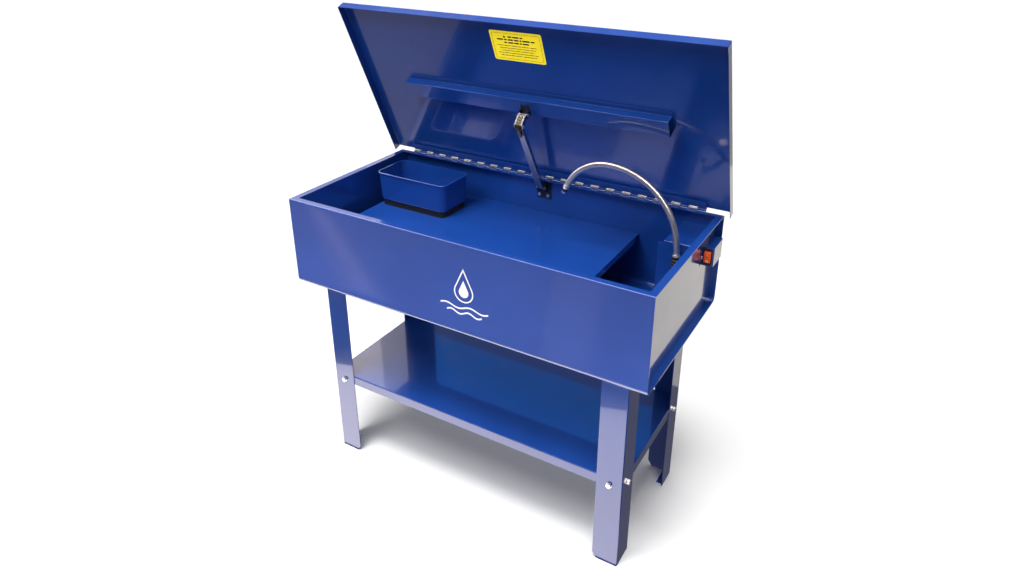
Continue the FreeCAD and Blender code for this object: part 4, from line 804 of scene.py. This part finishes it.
floor_card("front_floor", [(-1.20, -0.45), (0.62, -0.96), (0.62, -0.22), (-1.20, -0.22)], LILAC, 3.4)
floor_card("left_floor", bar_outline(-2.20, -1.20, -0.85, 0.60), LILAC, 0.4)
floor_card("near_floor", bar_outline(-3.50, 3.50, -6.00, -0.97), DUSK, 0.45)
floor_card("left_streak_edge", [(-2.18, -1.80), (-1.84, -1.72), (-0.96, -1.12), (-1.26, -1.12)],
           DUSK, 0.72, 2)
floor_card("left_streak", [(-2.09, -1.78), (-1.93, -1.74), (-1.05, -1.14), (-1.18, -1.14)],
           DUSK, 1.05, 3)
floor_card("right_streak", [(-0.48, -1.80), (-0.20, -1.80), (0.05, -1.05), (-0.16, -1.05)],
           DUSK, 0.68, 2)
floor_card("leg_floor", bar_outline(0.62, 0.80, 0.66, WALL_Y), CREAM, 0.62)
floor_card("right_floor", bar_outline(0.80, 2.60, 0.66, WALL_Y), CREAM, 1.0)
wall_card("left_wall", -6.50, -3.40, 2.95, 4.50, LILAC, 2.5)
wall_card("left_wall_low", -6.50, -3.40, 0.00, 2.95, LILAC, 0.6)
wall_card("mid_wall", -3.40, -3.05, 0.00, 4.50, LILAC, 1.1)
wall_card("blue_wall", -3.05, 1.50, 2.75, 5.00, SKY, 1.3)
wall_card("right_wall", 0.70, 3.00, 0.00, 2.30, CREAM, 0.45)
ceiling_card("ceiling", -4.00, 1.60, -0.90, 0.80)
ceiling_card("ceiling_left", -4.00, -2.00, -1.25, -0.90)
ceiling_card("ceiling_right", -0.97, 1.60, -1.25, -0.90)


def softbox(name, place, target, width, height, power, spread=180):
    """A rectangular area light, with the angle in degrees that its beam is held to."""
    light = bpy.data.lights.new(name, "AREA")
    light.shape = "RECTANGLE"
    light.size = width
    light.size_y = height
    light.energy = power
    light.spread = math.radians(spread)
    lamp = bpy.data.objects.new(name, light)
    bpy.context.scene.collection.objects.link(lamp)
    lamp.location = place
    direction = Vector(target) - Vector(place)
    lamp.rotation_mode = "QUATERNION"
    lamp.rotation_quaternion = direction.to_track_quat("-Z", "Y")
    lamp.visible_glossy = False


def sunlight(name, strength, angle, tilt_back, tilt_right):
    """A sun overhead, so many degrees wide and tipped by two angles in degrees."""
    light = bpy.data.lights.new(name, "SUN")
    light.energy = strength
    light.angle = math.radians(angle)
    lamp = bpy.data.objects.new(name, light)
    bpy.context.scene.collection.objects.link(lamp)
    lamp.rotation_euler = (math.radians(tilt_back), math.radians(tilt_right), 0)
    lamp.visible_glossy = False


sunlight("top_sun", strength=2.5, angle=20, tilt_back=12, tilt_right=3)
softbox("front_light", place=(-0.7, -1.8, 3.6), target=(0.0, -0.1, 0.7),
        width=1.6, height=1.6, power=90.0)
softbox("front_strip", place=(0.0, -3.2, 0.64), target=(0.0, 0.0, 0.64),
        width=1.8, height=0.40, power=1.5, spread=12)

# What lights the paint from all round is brighter behind than in front
world = bpy.data.worlds.new("studio")
bpy.context.scene.world = world
world.use_nodes = True
world_nodes = world.node_tree.nodes
world_links = world.node_tree.links


def backdrop(color, strength, node=None):
    """A background shader of one colour."""
    shader = node or world_nodes.new("ShaderNodeBackground")
    shader.inputs["Color"].default_value = (*color, 1)
    shader.inputs["Strength"].default_value = strength
    return shader.outputs[0]


def mixed(factor, first, second):
    """Shader that goes from first to second with factor."""
    mix = world_nodes.new("ShaderNodeMixShader")
    world_links.new(factor, mix.inputs[0])
    world_links.new(first, mix.inputs[1])
    world_links.new(second, mix.inputs[2])
    return mix.outputs[0]


direction = world_nodes.new("ShaderNodeTexCoord")
apart = world_nodes.new("ShaderNodeSeparateXYZ")
behind = world_nodes.new("ShaderNodeMapRange")
behind.inputs["From Min"].default_value = -0.1
behind.inputs["From Max"].default_value = 0.6
world_links.new(direction.outputs["Generated"], apart.inputs["Vector"])
world_links.new(apart.outputs["Y"], behind.inputs["Value"])
rays = world_nodes.new("ShaderNodeLightPath")
fill_front = backdrop((1.0, 0.99, 0.97), 0.34, world_nodes["Background"])
fill_back = backdrop((1.0, 0.99, 0.97), 0.65)
fill = mixed(behind.outputs["Result"], fill_front, fill_back)
room = backdrop((1.0, 0.90, 0.95), 0.14)
white = backdrop((1.0, 1.0, 1.0), 1.0)
seen = mixed(rays.outputs["Is Glossy Ray"], fill, room)
seen = mixed(rays.outputs["Is Camera Ray"], seen, white)
world_links.new(seen, world_nodes["World Output"].inputs["Surface"])

bpy.context.scene.view_settings.view_transform = "Standard"
